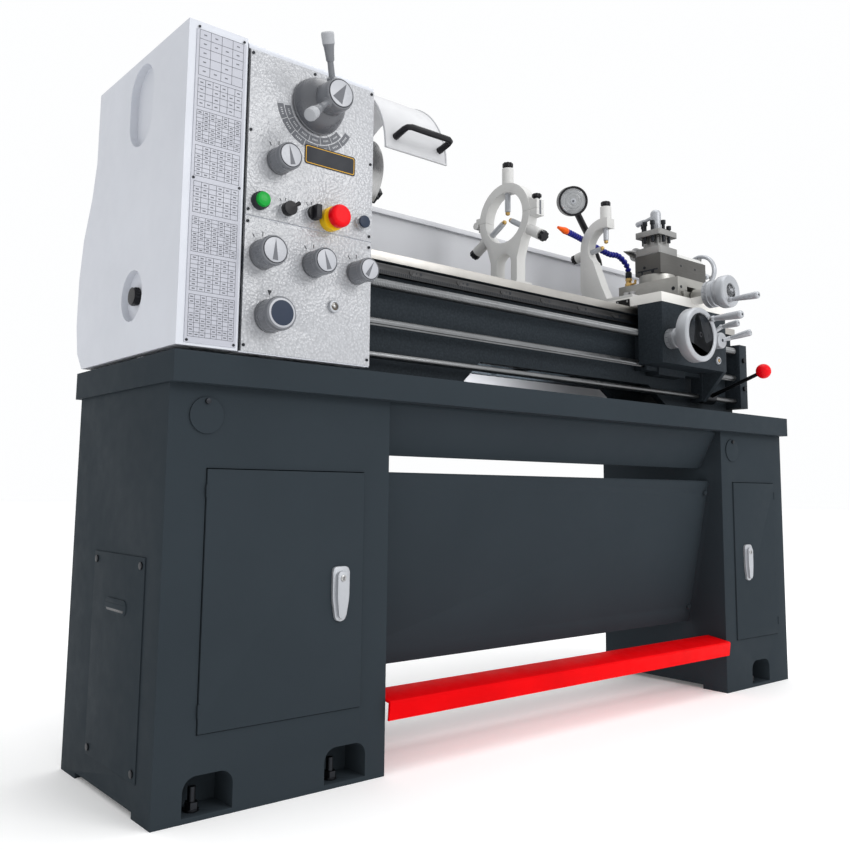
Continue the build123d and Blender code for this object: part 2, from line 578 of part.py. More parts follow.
def build_handwheels():
    apron_front = APRON_FRONT - 0.6
    wheel = handwheel_y(WHEEL_X, WHEEL_Z, -282, 66, 13, 30, 16, apron_front)
    wheel += rod_y(-244, apron_front, WHEEL_X, WHEEL_Z, 25)
    wheel += rod_y(apron_front - 1, -150, WHEEL_X, WHEEL_Z, 9)
    grip = radians(47)
    gx, gz = WHEEL_X + 58 * cos(grip), WHEEL_Z + 58 * sin(grip)
    wheel += rod_y(-290, -275, gx, gz, 5) + rod_between((gx, -290, gz), (gx, -366, gz), 7, 10)
    add("apron_handwheel", wheel)

    cross = handwheel_y(SLIDE_X, CROSS_Z, -294, 41, 14, 30, 17, -228)
    cross += rod_y(-268, -228, SLIDE_X, CROSS_Z, 34)
    cross += rod_y(-229, -64, SLIDE_X, CROSS_Z, 8)
    gx, gz = SLIDE_X - 10, CROSS_Z - 24
    cross += rod_y(-300, -290, gx, gz, 5) + rod_between((gx, -298, gz), (gx, -374, gz), 6, 9)
    add("cross_handwheel", cross)


def build_apron():
    """Gear case under the saddle, with the rod housing behind it and the lever bracket at its right."""
    x0, x1 = APRON_X
    top = WAY_TOP + 0.2
    apron = block(x0, x1, APRON_FRONT, -118, APRON_BOTTOM, top)
    apron += block(x0 + 30, x1 - 10, -119, -84, 806, 910)
    apron += block(x0 + 30, x1 - 10, -119, -98, 905, top)
    apron += prism_y([(x1 - 16, APRON_BOTTOM + 6), (x1, APRON_BOTTOM + 6), (x1, CONTROL_Z - 14), (x1 - 16, CONTROL_Z - 14)],
                     -126, -90)
    web = prism_x([(APRON_FRONT, APRON_BOTTOM + 1), (-118, APRON_BOTTOM + 1), (-90, 806), (-90, CONTROL_Z - 14), (-126, CONTROL_Z - 14)],
                  x1 - 14, x1)
    apron += web
    apron += block(x0 + 76, x0 + 190, -124, -84, 798, 850)
    for z, r in ((LEAD_Z, LEAD_R), (FEED_Z, FEED_R), (CONTROL_Z, CONTROL_R)):
        apron -= rod_x(x0 - 1, x1 + 1, ROD_Y, z, r + RUN + 0.25)
    apron -= block(x0 + 12, x1 - 12, APRON_FRONT + 12, -128, APRON_BOTTOM + 12, top - 24)
    apron -= rod_y(APRON_FRONT - 1, -118, WHEEL_X, WHEEL_Z, 9 + RUN)
    apron -= rod_y(APRON_FRONT - 1, -150, *FEED_LEVER, 7 + RUN)
    apron -= rod_y(APRON_FRONT - 1, -150, *NUT_LEVER, 7 + RUN)
    sight = rod_y(APRON_FRONT - 5, APRON_FRONT, 607, 843, 10)
    add("apron", apron, sight)


FEED_LEVER = (560.0, 905.0)
NUT_LEVER = (596.0, 893.0)


def lever(x, z, hub_r, reach, tip):
    """Hub on a shaft, arm and tapered grip."""
    face = APRON_FRONT - 0.6
    body = rod_y(face - 22, face, x, z, hub_r) + rod_y(face - 1, -152, x, z, 7)
    knee = (x + reach[0], face - 30, z + reach[1])
    body += rod_between((x, face - 12, z), knee, 5)
    body += rod_between(knee, (knee[0] + tip[0], knee[1] + tip[1], knee[2] + tip[2]), 6, 9)
    return body


def build_levers():
    add("feed_lever", lever(*FEED_LEVER, 15, (18, 20), (8, -46, 6)))
    add("half_nut_lever", lever(*NUT_LEVER, 21, (18, 6), (16, -54, 12)))
    hub = ring_x(APRON_X[1] + 0.6, 704, ROD_Y, CONTROL_Z, 17, CONTROL_R + RUN)
    ball_at = (664, -286, 812)
    arm = rod_between((680, ROD_Y - 14, CONTROL_Z + 4), ball_at, 5)
    ball = Pos(*ball_at) * Sphere(19)
    add("start_lever", hub + arm + ball)


def post_reach(edge):
    """Distance of a vertical edge from the middle of the tool post."""
    middle = edge.center()
    return sqrt((middle.X - POST_X) ** 2 + (middle.Y - POST_Y) ** 2)


def build_compound():
    """Swivel base, top slide with its ball crank, and the four-way tool post."""
    base = rod_z(1046.4, 1070.6, POST_X, POST_Y, 47) + rod_z(1032, 1047, POST_X, POST_Y, 10)
    add("compound_base", base)
    x0, x1, y0, y1 = 468.0, 675.0, -117.0, -36.0
    slide = block(x0, x1, y0, y1, 1071, 1125)
    slide -= block(x0 + 20, x1 - 20, y0 + 18, y1 - 18, 1070, 1085)
    slide += rod_z(1124, 1199, POST_X, POST_Y, 11)
    add("compound_slide", slide - rod_x(x1 - 60, x1 + 1, POST_Y, 1098, 7 + RUN))
    crank = rod_x(x1 + 0.6, x1 + 18, POST_Y, 1098, 24) + rod_x(x1 - 58, x1 + 30, POST_Y, 1098, 7)
    crank += rod_between((x1 + 26, POST_Y - 30, 1098), (x1 + 26, POST_Y + 30, 1098), 5)
    crank += Pos(x1 + 26, POST_Y - 26, 1098) * Sphere(8)
    add("compound_handwheel", crank)
    half = 40.0
    hub_r = 11 + RUN
    post = block(POST_X - half, POST_X + half, POST_Y - half, POST_Y + half, 1125.4, 1145)
    post += block(POST_X - half + 16, POST_X + half - 16, POST_Y - half + 16, POST_Y + half - 16, 1145, 1176)
    post += block(POST_X - half, POST_X + half, POST_Y - half, POST_Y + half, 1176, 1191)
    post = chamfer(post.edges().filter_by(Axis.Z).group_by(lambda e: round(post_reach(e)))[-1], 4)
    post -= rod_z(1120, 1195, POST_X, POST_Y, hub_r)
    bolts = []
    for sx in (-1, 1):
        for sy in (-1, 1):
            for dx, dy in ((sx * 12, sy * 32), (sx * 32, sy * 12)):
                x, y = POST_X + dx, POST_Y + dy
                post -= rod_z(1175, 1192, x, y, 4.5)
                top = 1218 if sx < 0 else 1206
                bolts.append(rod_z(1160, top, x, y, 4.5) + rod_z(top - 10, top, x, y, 6.5))
    add("toolpost", post, *bolts)
    boss = rod_z(1191.6, 1256, POST_X, POST_Y, 14)
    boss = fillet(boss.edges().filter_by(GeomType.CIRCLE).sort_by(Axis.Z)[-1], 12)
    arm = rod_between((POST_X, POST_Y, 1240), (POST_X + 30, POST_Y + 60, 1243), 4.5)
    grip = rod_between((POST_X + 29, POST_Y + 58, 1243), (POST_X + 46, POST_Y + 92, 1245), 6, 8)
    add("toolpost_handle", boss - rod_z(1191, 1200.5, POST_X, POST_Y, 11 + RUN) + arm + grip)


# ---------------------------------------------------------------- rests

FINGER_R = 7.0


def radial(cx, angle, near, far, r):
    """Bar in the plane X = cx, pointing away from the spindle axis at an angle from +Y."""
    a = radians(angle)
    return rod_between((cx, near * cos(a), AXIS_Z + near * sin(a)), (cx, far * cos(a), AXIS_Z + far * sin(a)), r)


def finger(cx, angle, tip, knob_at):
    """Brass-tipped jaw on its screw, with the ribbed knob at the outer end."""
    return radial(cx, angle, tip, knob_at, FINGER_R) + radial(cx, angle, knob_at, knob_at + 14, 13)


def build_steady_rest():
    """Split ring on a recessed pedestal; the upper half opens on a hinge pin at the rear."""
    half_x = 14.0
    x0, x1 = REST_X - half_x, REST_X + half_x
    inner, outer = 62.0, 84.0
    ring = ring_x(x0, x1, 0, AXIS_Z, outer, inner)
    split = AXIS_Z + 1.0
    lower = ring & block(x0, x1, -120, 120, AXIS_Z - 100, split - 0.5)
    upper = ring & block(x0, x1, -120, 120, split, AXIS_Z + 100)
    lower += prism_x([(-62, AXIS_Z - 52), (62, AXIS_Z - 52), (44, 1044), (44, 984), (-44, 984), (-44, 1044)], x0, x1)
    lower -= rod_x(x0 - 1, x1 + 1, 0, AXIS_Z, inner)
    lower -= block(x0 - 1, x1 + 1, -24, 24, 980, 1036) + rod_x(x0 - 1, x1 + 1, 0, 1036, 24)
    lower += block(x0 - 12, x1 + 12, -54, 58, WAY_TOP, 986)
    for angle in (-30, -150):
        lower += radial(REST_X, angle, inner + 12, 124, 13)
        lower -= radial(REST_X, angle, 20, 140, FINGER_R + RUN)
    upper += radial(REST_X, 90, inner + 12, 124, 14)
    upper -= radial(REST_X, 90, 20, 140, FINGER_R + RUN)
    clamp = block(x0 - 8, x1 + 8, -20, 20, WAY_TOP - FLANGE - 18, WAY_TOP - FLANGE - 2)
    clamp += block(x0 - 8, x1 + 8, -50, 50, WAY_TOP - FLANGE - 18, WAY_TOP - FLANGE - 0.2)
    lower += rod_z(WAY_TOP - FLANGE - 10, WAY_TOP + 10, REST_X, 0, 7) + clamp
    for x in (x0 - 5, x1 + 5):
        lower += hexagon_z(986, 994, x, -12, 12)
    hinge_y, hinge_z = 98.0, split
    lower += ring_x(x0 + 9, x1 - 9, hinge_y, hinge_z, 9, 4) + block(x0 + 9, x1 - 9, 76, 96, hinge_z - 16, hinge_z - 1)
    lower += rod_x(x0, x1, hinge_y, hinge_z, 4 - RUN)
    for a, b in ((x0, x0 + 8.5), (x1 - 8.5, x1)):
        ear = rod_x(a, b, hinge_y, hinge_z, 9) + block(a, b, 76, 96, hinge_z + 1, hinge_z + 16)
        upper += ear - rod_x(a - 1, b + 1, hinge_y, hinge_z, 4 + RUN)
    upper += block(x0 + 2, x1 - 2, -106, -78, split, split + 22)
    lower += block(x0 + 2, x1 - 2, -106, -78, split - 16, split - 0.5)
    upper += rod_z(split + 22, split + 28, REST_X, -95, 5) + rod_z(split + 26, split + 38, REST_X, -95, 11)
    upper -= rod_x(x0 - 1, x1 + 1, 0, AXIS_Z, inner)
    add("steady_rest_base", lower)
    add("steady_rest_cap", upper)
    add("steady_finger_top", finger(REST_X, 90, 8, 126))
    add("steady_finger_rear", finger(REST_X, -30, 8, 126))
    add("steady_finger_front", finger(REST_X, -150, 8, 126))


def build_follow_rest():
    """C-shaped rest bolted to the left wing of the saddle, with a top and a rear finger."""
    x0, x1 = FOLLOW_X - 15, FOLLOW_X + 15
    arc = ring_x(x0, x1, 0, AXIS_Z, 76, 50) & block(x0, x1, -16, 80, AXIS_Z - 22, AXIS_Z + 80)
    column = prism_x([(46, AXIS_Z + 4), (76, AXIS_Z + 4), (78, 1040), (59, 993), (-16, 993), (6, 1040), (32, 1108)], x0, x1)
    column -= rod_x(x0 - 1, x1 + 1, 0, AXIS_Z, 50)
    body = arc + column
    body += radial(FOLLOW_X, 90, 60, 108, 15) + radial(FOLLOW_X, -8, 60, 100, 14)
    body -= radial(FOLLOW_X, 90, 20, 120, FINGER_R) + radial(FOLLOW_X, -8, 20, 120, FINGER_R)
    fingers = [finger(FOLLOW_X, angle, 8, out) for angle, out in ((90, 110), (-8, 102))]
    body += block(x0, x1, -94, 30, 993, 1003)
    bolts = [hexagon_z(1003, 1012, FOLLOW_X, y, 16) for y in (-66.0, -84.0)]
    add("follow_rest", body, *fingers, *bolts)


# ---------------------------------------------------------------- tailstock, lamp, coolant

def build_tailstock():
    """Clamped to the tail end of the bed: base, barrel, quill with centre, handwheel and clamp lever."""
    x0, x1 = TAIL_X
    base = block(x0, x1, -92, 92, WAY_TOP + 9, 1000) + block(x0, x1, -50, 50, WAY_TOP + 0.4, WAY_TOP + 9)
    body = prism_y([(x0 + 12, 1000), (x1, 1000), (x1, AXIS_Z), (x0 + 66, AXIS_Z), (x0 + 66, 1100), (x0 + 34, 1040)],
                   -BARREL_R, BARREL_R)
    barrel = rod_x(BARREL_LEFT, x1, 0, AXIS_Z, BARREL_R)
    stock = sum_of([base, body, barrel]) - rod_x(BARREL_LEFT - 1, x1 + 1, 0, AXIS_Z, QUILL_R + RUN)
    stock += block(x0 + 30, x1 - 30, -30, 30, WAY_TOP - FLANGE - 18, WAY_TOP + 1)
    stock += block(x0 + 20, x1 - 20, -52, 52, WAY_TOP - FLANGE - 18, WAY_TOP - FLANGE - 0.4)
    clamp = rod_y(30, 58, 740, 1040, 9) + rod_between((740, 52, 1040), (770, 60, 1096), 6)
    add("tailstock_body", stock + clamp)
    quill = rod_x(516, 780, 0, AXIS_Z, QUILL_R) + rod_x(503, 516, 0, AXIS_Z, 10)
    quill += rod_between((503, 0, AXIS_Z), (466, 0, AXIS_Z), 10, 1)
    add("tailstock_quill", quill)
    wheel = ring_x(820, 838, 0, AXIS_Z, 54, 42) + rod_x(801, 838, 0, AXIS_Z, 15)
    for k in range(3):
        a = radians(90 + 120 * k)
        wheel += rod_between((829, 10 * cos(a), AXIS_Z + 10 * sin(a)), (829, 46 * cos(a), AXIS_Z + 46 * sin(a)), 6)
    a = radians(30)
    wheel += rod_x(837, 900, 48 * cos(a), AXIS_Z + 48 * sin(a), 7)
    add("tailstock_handwheel", wheel)


def build_splash_guard():
    back = TRAY_HALF_Y - TRAY_SHEET
    plate = block(-520, 884, back - 3, back, TRAY_BOTTOM + TRAY_SHEET, 1172)
    plate += block(-520, 884, back - 14, back, 1160, 1163) + block(-520, 884, back - 14, back - 11, 1160, 1172)
    socket = block(628, 664, back, back + 36, 1124, 1164) - rod_z(1128, 1165, LAMP_POST[0], LAMP_POST[1], 8 + RUN)
    add("splash_guard", plate + socket)


LAMP_POST = (646.0, 229.0)


def build_lamp():
    """Jointed arm with a round lamp head, clamped to the rear guard."""
    x, y = LAMP_POST
    post = rod_z(1129, 1194, x, y, 8) + rod_between((x, y, 1188), (596, 224, 1256), 9)
    arm = rod_between((596, 224, 1256), (508, 204, 1322), 10)
    head = rod_between((487, 204, 1344), (468, 178, 1335), 43)
    dome = rod_between((508, 230, 1354), (487, 204, 1344), 22, 40)
    joint = Pos(596, 224, 1256) * Sphere(11)
    neck = rod_between((508, 204, 1322), (500, 218, 1340), 8)
    add("work_lamp", sum_of([post, arm, joint, neck, dome, head]))


HOSE_PATH = [(618, 100, 1136), (606, 100, 1157), (570, 100, 1175), (527, 98, 1172), (442, 92, 1182), (370, 78, 1187),
             (302, 60, 1186)]


def build_coolant():
    """Riser and tap on the saddle, with a hose of ball-and-socket beads that ends in a nozzle."""
    x, y = HOSE_PATH[0][:2]
    riser = rod_z(993, 1092, x, y, 8) + hexagon_z(1092, 1112, x, y, 20) + rod_z(1112, 1134, x, y, 9)
    tap = rod_y(y - 26, y, x, 1102, 5)
    path = Spline(*[Vector(*p) for p in HOSE_PATH])
    beads = []
    count = 24
    for k in range(count):
        start = path @ (k / count)
        end = path @ ((k + 0.9) / count)
        beads.append(rod_between(tuple(start), tuple(end), 8.5, 6.5))
    tip = Vector(*HOSE_PATH[-1])
    way = (path @ 1 - path @ 0.97).normalized()
    nozzle = rod_between(tuple(tip), tuple(tip + way * 20), 9, 8)
    nozzle += rod_between(tuple(tip + way * 20), tuple(tip + way * 50), 8, 3.5)
    add("coolant_hose", sum_of([riser, tap]), *beads, nozzle)


def build_all():
    build_cabinets()
    build_levelling_bolts()
    build_doors()
    build_cover_plates()
    build_tray()
    build_infill()
    build_pedal()
    build_bed()
    build_rod_bracket()
    build_rods()
    build_headstock()
    build_front_panels()
    build_knobs()
    build_switches()
    build_end_cover()
    build_drive()
    build_electrical_cabinet()
    build_spindle()
    build_chuck_guard()
    build_saddle()
    build_cross_slide()
    build_handwheels()
    build_apron()
    build_levers()
    build_compound()
    build_steady_rest()
    build_follow_rest()
    build_tailstock()
    build_splash_guard()
    build_lamp()
    build_coolant()


def export_all():
    os.makedirs("parts", exist_ok=True)
    shift = Pos(0, DEPTH_SHIFT, 0)
    boxes = []
    for name, shapes in PARTS.items():
        solids = [solid for shape in shapes for solid in (shift * shape).solids()]
        node = Compound(children=solids) if len(solids) > 1 else solids[0]
        boxes.append(node.bounding_box())
        export_step(node, f"parts/{name}.step")
    low = [min(b.min.X for b in boxes), min(b.min.Y for b in boxes), min(b.min.Z for b in boxes)]
    high = [max(b.max.X for b in boxes), max(b.max.Y for b in boxes), max(b.max.Z for b in boxes)]
    print(len(PARTS), "nodes; whole box", [round(v, 2) for v in low], [round(v, 2) for v in high])


build_all()
export_all()
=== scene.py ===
import json
from math import cos, pi, radians, sin, sqrt

import bmesh
import bpy
from mathutils import Matrix, Vector

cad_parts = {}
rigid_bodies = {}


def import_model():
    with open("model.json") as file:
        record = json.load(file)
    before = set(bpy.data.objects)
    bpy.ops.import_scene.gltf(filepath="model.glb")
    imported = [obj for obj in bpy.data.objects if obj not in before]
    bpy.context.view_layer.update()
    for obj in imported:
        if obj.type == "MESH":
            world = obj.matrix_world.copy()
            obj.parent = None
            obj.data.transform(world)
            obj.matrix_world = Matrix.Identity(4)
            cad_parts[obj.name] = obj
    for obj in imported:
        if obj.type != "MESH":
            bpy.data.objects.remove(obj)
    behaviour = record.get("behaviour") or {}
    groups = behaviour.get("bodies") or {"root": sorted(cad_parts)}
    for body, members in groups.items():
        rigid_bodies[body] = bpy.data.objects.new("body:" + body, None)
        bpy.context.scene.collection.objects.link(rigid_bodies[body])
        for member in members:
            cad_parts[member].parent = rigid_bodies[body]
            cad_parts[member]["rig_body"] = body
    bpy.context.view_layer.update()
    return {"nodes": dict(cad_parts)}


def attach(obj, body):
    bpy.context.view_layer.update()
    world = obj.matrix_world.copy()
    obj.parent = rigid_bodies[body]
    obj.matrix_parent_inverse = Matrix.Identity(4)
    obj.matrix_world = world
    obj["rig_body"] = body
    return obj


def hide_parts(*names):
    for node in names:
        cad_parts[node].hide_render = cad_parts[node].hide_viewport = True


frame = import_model()

# Machine dimensions in millimetres: X along the bed, Y from the spindle axis, Z from the floor.
DEPTH_SHIFT = 46.0
AXIS_Z = 1149.0
WAY_TOP = 968.0
PANEL = -213.0
ROD_Y, LEAD_Z, FEED_Z, CONTROL_Z = -108.0, 899.0, 822.0, 756.0
SLIDE_X, CROSS_Z = 510.0, 998.0
WHEEL_X, WHEEL_Z = 396.0, 876.0
APRON_FRONT = -190.0
REST_X, FOLLOW_X = 21.0, 392.0
SPEED_X, SPEED_Z = -665.0, 1160.0
CAMERA_PLACE = (-1485.5, -1500, 495)
CAMERA_TURN = (39.76, 6.952, 0.631)      # yaw, pitch and roll in degrees
CAMERA_LENS = 38.30
FLOOR_GLOW = 0.1


def at(x, y, z):
    return Vector((x / 1000, (y + DEPTH_SHIFT) / 1000, z / 1000))


# ------------------------------------------------------------------ materials

def shader(name):
    mat = bpy.data.materials.new(name)
    mat.use_nodes = True
    tree = mat.node_tree
    return mat, tree, tree.nodes["Principled BSDF"], tree.nodes.new("ShaderNodeTexCoord")


def noise(tree, coord, scale, detail=3.0, stretch=None):
    node = tree.nodes.new("ShaderNodeTexNoise")
    node.inputs["Scale"].default_value = scale
    node.inputs["Detail"].default_value = detail
    source = coord.outputs["Object"]
    if stretch:
        mapping = tree.nodes.new("ShaderNodeMapping")
        mapping.inputs["Scale"].default_value = stretch
        tree.links.new(source, mapping.inputs["Vector"])
        source = mapping.outputs["Vector"]
    tree.links.new(source, node.inputs["Vector"])
    return node


def remap(tree, source, low, high, start=0.3, stop=0.7):
    node = tree.nodes.new("ShaderNodeMapRange")
    node.inputs["From Min"].default_value = start
    node.inputs["From Max"].default_value = stop
    node.inputs["To Min"].default_value = low
    node.inputs["To Max"].default_value = high
    tree.links.new(source, node.inputs["Value"])
    return node.outputs["Result"]


def blend_colours(tree, factor, first, second):
    node = tree.nodes.new("ShaderNodeMix")
    node.data_type = "RGBA"
    node.inputs["A"].default_value = (*first, 1)
    node.inputs["B"].default_value = (*second, 1)
    tree.links.new(factor, node.inputs["Factor"])
    return node.outputs["Result"]


def add_bump(tree, shade, heights):
    """Chain bump nodes from (height output, strength, distance in metres)."""
    last = None
    for height, strength, distance in heights:
        bump = tree.nodes.new("ShaderNodeBump")
        bump.inputs["Strength"].default_value = strength
        bump.inputs["Distance"].default_value = distance
        tree.links.new(height, bump.inputs["Height"])
        if last:
            tree.links.new(last, bump.inputs["Normal"])
        last = bump.outputs["Normal"]
    tree.links.new(last, shade.inputs["Normal"])


def paint(name, colour, rough=0.42, peel=0.12, coat=0.0, vary=0.12, grain=420.0, shine=0.4):
    """Sprayed paint: orange peel, faint cloudiness and uneven gloss."""
    mat, tree, shade, coord = shader(name)
    cloud = noise(tree, coord, 5.0, 4.0)
    darker = tuple(c * (1 - vary) for c in colour)
    lighter = tuple(min(1, c * (1 + vary)) for c in colour)
    tree.links.new(blend_colours(tree, remap(tree, cloud.outputs["Fac"], 0, 1), darker, lighter),
                   shade.inputs["Base Color"])
    dust = noise(tree, coord, 38.0, 5.0)
    tree.links.new(remap(tree, dust.outputs["Fac"], rough - 0.06, rough + 0.07), shade.inputs["Roughness"])
    fine = noise(tree, coord, grain, 2.0)
    add_bump(tree, shade, [(fine.outputs["Fac"], peel, 0.0006)])
    shade.inputs["Specular IOR Level"].default_value = shine
    shade.inputs["Coat Weight"].default_value = coat
    shade.inputs["Coat Roughness"].default_value = 0.25
    return mat


def textured_paint(name, colour, rough, cell, depth, shine=0.4, low=0.78, high=1.08):
    """Wrinkle or hammer finish built from soft cells."""
    mat, tree, shade, coord = shader(name)
    cells = tree.nodes.new("ShaderNodeTexVoronoi")
    cells.feature = "SMOOTH_F1"
    cells.inputs["Scale"].default_value = cell
    cells.inputs["Smoothness"].default_value = 0.7
    tree.links.new(coord.outputs["Object"], cells.inputs["Vector"])
    shadow = remap(tree, cells.outputs["Distance"], 0, 1, 0.05, 0.65)
    tree.links.new(blend_colours(tree, shadow, tuple(c * high for c in colour),
                                 tuple(c * low for c in colour)),
                   shade.inputs["Base Color"])
    shade.inputs["Specular IOR Level"].default_value = shine
    patch = noise(tree, coord, 30.0, 4.0)
    tree.links.new(remap(tree, patch.outputs["Fac"], rough - 0.05, rough + 0.08), shade.inputs["Roughness"])
    add_bump(tree, shade, [(cells.outputs["Distance"], 0.55, depth), (patch.outputs["Fac"], 0.1, 0.001)])
    return mat


def steel(name, colour, rough=0.28, grain=(1, 1, 1), scale=900.0, depth=0.00012, vary=0.1, metal=1.0):
    """Machined metal with a directional lay."""
    mat, tree, shade, coord = shader(name)
    shade.inputs["Metallic"].default_value = metal
    lay = noise(tree, coord, scale, 2.0, grain)
    cloud = noise(tree, coord, 14.0, 4.0)
    tree.links.new(blend_colours(tree, remap(tree, cloud.outputs["Fac"], 0, 1),
                                 tuple(c * (1 - vary) for c in colour),
                                 tuple(min(1, c * (1 + vary)) for c in colour)), shade.inputs["Base Color"])
    tree.links.new(remap(tree, lay.outputs["Fac"], rough - 0.06, rough + 0.1), shade.inputs["Roughness"])
    add_bump(tree, shade, [(lay.outputs["Fac"], 0.18, depth)])
    return mat


def plastic(name, colour, rough=0.4, coat=0.0, grain=700.0, peel=0.12, shine=0.22):
    return paint(name, colour, rough, peel, coat, 0.06, grain, shine)


def glass_like(name, colour, rough=0.08, glow=0.0):
    mat, tree, shade, coord = shader(name)
    ripple = noise(tree, coord, 60.0, 2.0)
    tree.links.new(blend_colours(tree, remap(tree, ripple.outputs["Fac"], 0, 1),
                                 tuple(c * 0.9 for c in colour), colour),
                   shade.inputs["Base Color"])
    add_bump(tree, shade, [(ripple.outputs["Fac"], 0.08, 0.0005)])
    shade.inputs["Roughness"].default_value = rough
    shade.inputs["Coat Weight"].default_value = 1.0
    if glow:
        shade.inputs["Emission Color"].default_value = (*colour, 1)
        shade.inputs["Emission Strength"].default_value = glow
    return mat


CHARCOAL = paint("charcoal_paint", (0.028, 0.036, 0.043), 0.55, 0.2, 0.0, 0.04, 520, 0.02)
CAST_CHARCOAL = textured_paint("cast_charcoal", (0.027, 0.034, 0.041), 0.5, 190, 0.0005, 0.05)
COVER_WHITE = paint("cover_white", (0.55, 0.57, 0.62), 0.42, 0.14, 0.0, 0.03, 380)
WHITE = paint("white_paint", (0.57, 0.58, 0.61), 0.4, 0.14, 0.0, 0.03, 380)
GUARD_WHITE = paint("guard_white", (0.5, 0.505, 0.52), 0.36, 0.1, 0.0, 0.03, 300, 0.3)
# Saddle: the same cast white paint made lighter than CAST_WHITE, a painted highlight for the light on the
# saddle.
SADDLE_LIT_WHITE = paint("saddle_white_painted_highlight", (0.74, 0.73, 0.7), 0.46, 0.35, 0.0, 0.05, 170, 0.3)
CAST_WHITE = paint("cast_white", (0.55, 0.55, 0.54), 0.46, 0.35, 0.0, 0.05, 170, 0.3)
HAMMERED = textured_paint("hammered_silver", (0.43, 0.44, 0.465), 0.24, 230, 0.0016, 0.8, 0.8, 1.06)
RED = paint("red_paint", (0.72, 0.001, 0.003), 0.45, 0.3, 0.0, 0.14, 90, 0.03)
GROUND = steel("ground_steel", (0.43, 0.417, 0.395), 0.34, (0.04, 1, 1), 700)
TURNED = steel("turned_steel", (0.36, 0.36, 0.36), 0.3, (1, 0.2, 0.2), 500, 0.00003)
ROD_STEEL = steel("rod_steel", (0.19, 0.195, 0.2), 0.34, (1, 0.3, 0.3), 160, 0.00001)
SCREW_STEEL = steel("screw_steel", (0.36, 0.36, 0.36), 0.32, (1, 1, 1), 600)
CROSS_GROUND = steel("cross_ground_steel", (0.36, 0.355, 0.335), 0.4, (1, 0.05, 1), 700)
POST_STEEL = steel("post_steel", (0.3, 0.3, 0.295), 0.38, (1, 1, 0.1), 600)
MACHINE_GREY = steel("machined_iron", (0.108, 0.106, 0.101), 0.42, (0.1, 1, 1), 500, 0.0002)
RACK_STEEL = steel("rack_steel", (0.055, 0.055, 0.056), 0.45, (0.1, 1, 1), 500, 0.0002)
BLACKED = steel("blacked_steel", (0.028, 0.03, 0.034), 0.4, (1, 1, 1), 400, 0.0001)
SATIN = steel("satin_aluminium", (0.4, 0.415, 0.44), 0.42, (1, 1, 1), 260, 0.00006, 0.06, 0.5)
# Black gloss for dark parts; the same black also stands for painted shade in holes, recesses and tooth gaps.
BORE = paint("black_gloss_and_hole_shade", (0.006, 0.009, 0.014), 0.3, 0.05, 0.0, 0.1, 200, 0.3)
BRASS = steel("brass", (0.55, 0.36, 0.13), 0.3, (1, 1, 1), 600)
GREY_PLASTIC = plastic("grey_plastic", (0.13, 0.137, 0.152), 0.3, 0.0, 700, 0.1, 0.6)
SLATE_PLASTIC = plastic("slate_plastic", (0.09, 0.095, 0.107), 0.3, 0.0, 700, 0.1, 0.6)
LIGHT_PLASTIC = plastic("light_grey_plastic", (0.34, 0.35, 0.37), 0.38)
BLACK_PLASTIC = plastic("black_plastic", (0.008, 0.008, 0.01), 0.36)
RED_PLASTIC = plastic("red_plastic", (0.68, 0.001, 0.006), 0.35, 0.0, 700, 0.12, 0.12)
YELLOW_PLASTIC = plastic("yellow_plastic", (0.8, 0.5, 0.008), 0.32)
BLUE_PLASTIC = plastic("blue_plastic", (0.008, 0.012, 0.22), 0.3)
NAVY_DISC = plastic("navy_disc", (0.016, 0.026, 0.05), 0.4)
ORANGE_PLASTIC = plastic("orange_plastic", (0.8, 0.1, 0.004), 0.35)
AMBER = plastic("amber_line", (0.62, 0.34, 0.02), 0.4)
GREEN_LENS = paint("green_lens", (0.0, 0.3, 0.03), 0.3, 0.03, 0.0, 0.05, 200, 0.25)
OIL_GLASS = glass_like("oil_glass", (0.05, 0.036, 0.02), 0.1)
LAMP_LENS = glass_like("lamp_lens", (0.32, 0.33, 0.34), 0.16)
RUBBER = plastic("belt_rubber", (0.008, 0.008, 0.008), 0.75, 0.0, 300, 0.3)
MOTOR = paint("motor_paint", (0.03, 0.06, 0.12), 0.4)
PLATE = paint("plate_face", (0.4, 0.41, 0.46), 0.34, 0.06, 0.0, 0.03, 300)
CAP_FACE = paint("cap_face", (0.37, 0.38, 0.41), 0.3, 0.03, 0.0, 0.03, 300, 0.5)
# Black ink for print, rims and bezels; the same black also paints the shade in the lock keyway.
INK_AND_KEYWAY_SHADE = plastic("plate_ink_and_keyway_shade", (0.02, 0.022, 0.028), 0.45)
GREY_INK = plastic("grey_ink", (0.13, 0.135, 0.15), 0.5)
PALE_INK = plastic("pale_ink", (0.45, 0.46, 0.48), 0.4)
FELT = plastic("wiper_felt", (0.01, 0.01, 0.01), 0.9, 0.0, 900, 0.6)


# ------------------------------------------------------------------ geometry

def axis_frame(origin, direction):
    """Matrix that takes local Z to the direction, at a point in metres."""
    turn = Vector(direction).normalized().to_track_quat("Z", "Y").to_matrix().to_4x4()
    return Matrix.Translation(origin) @ turn


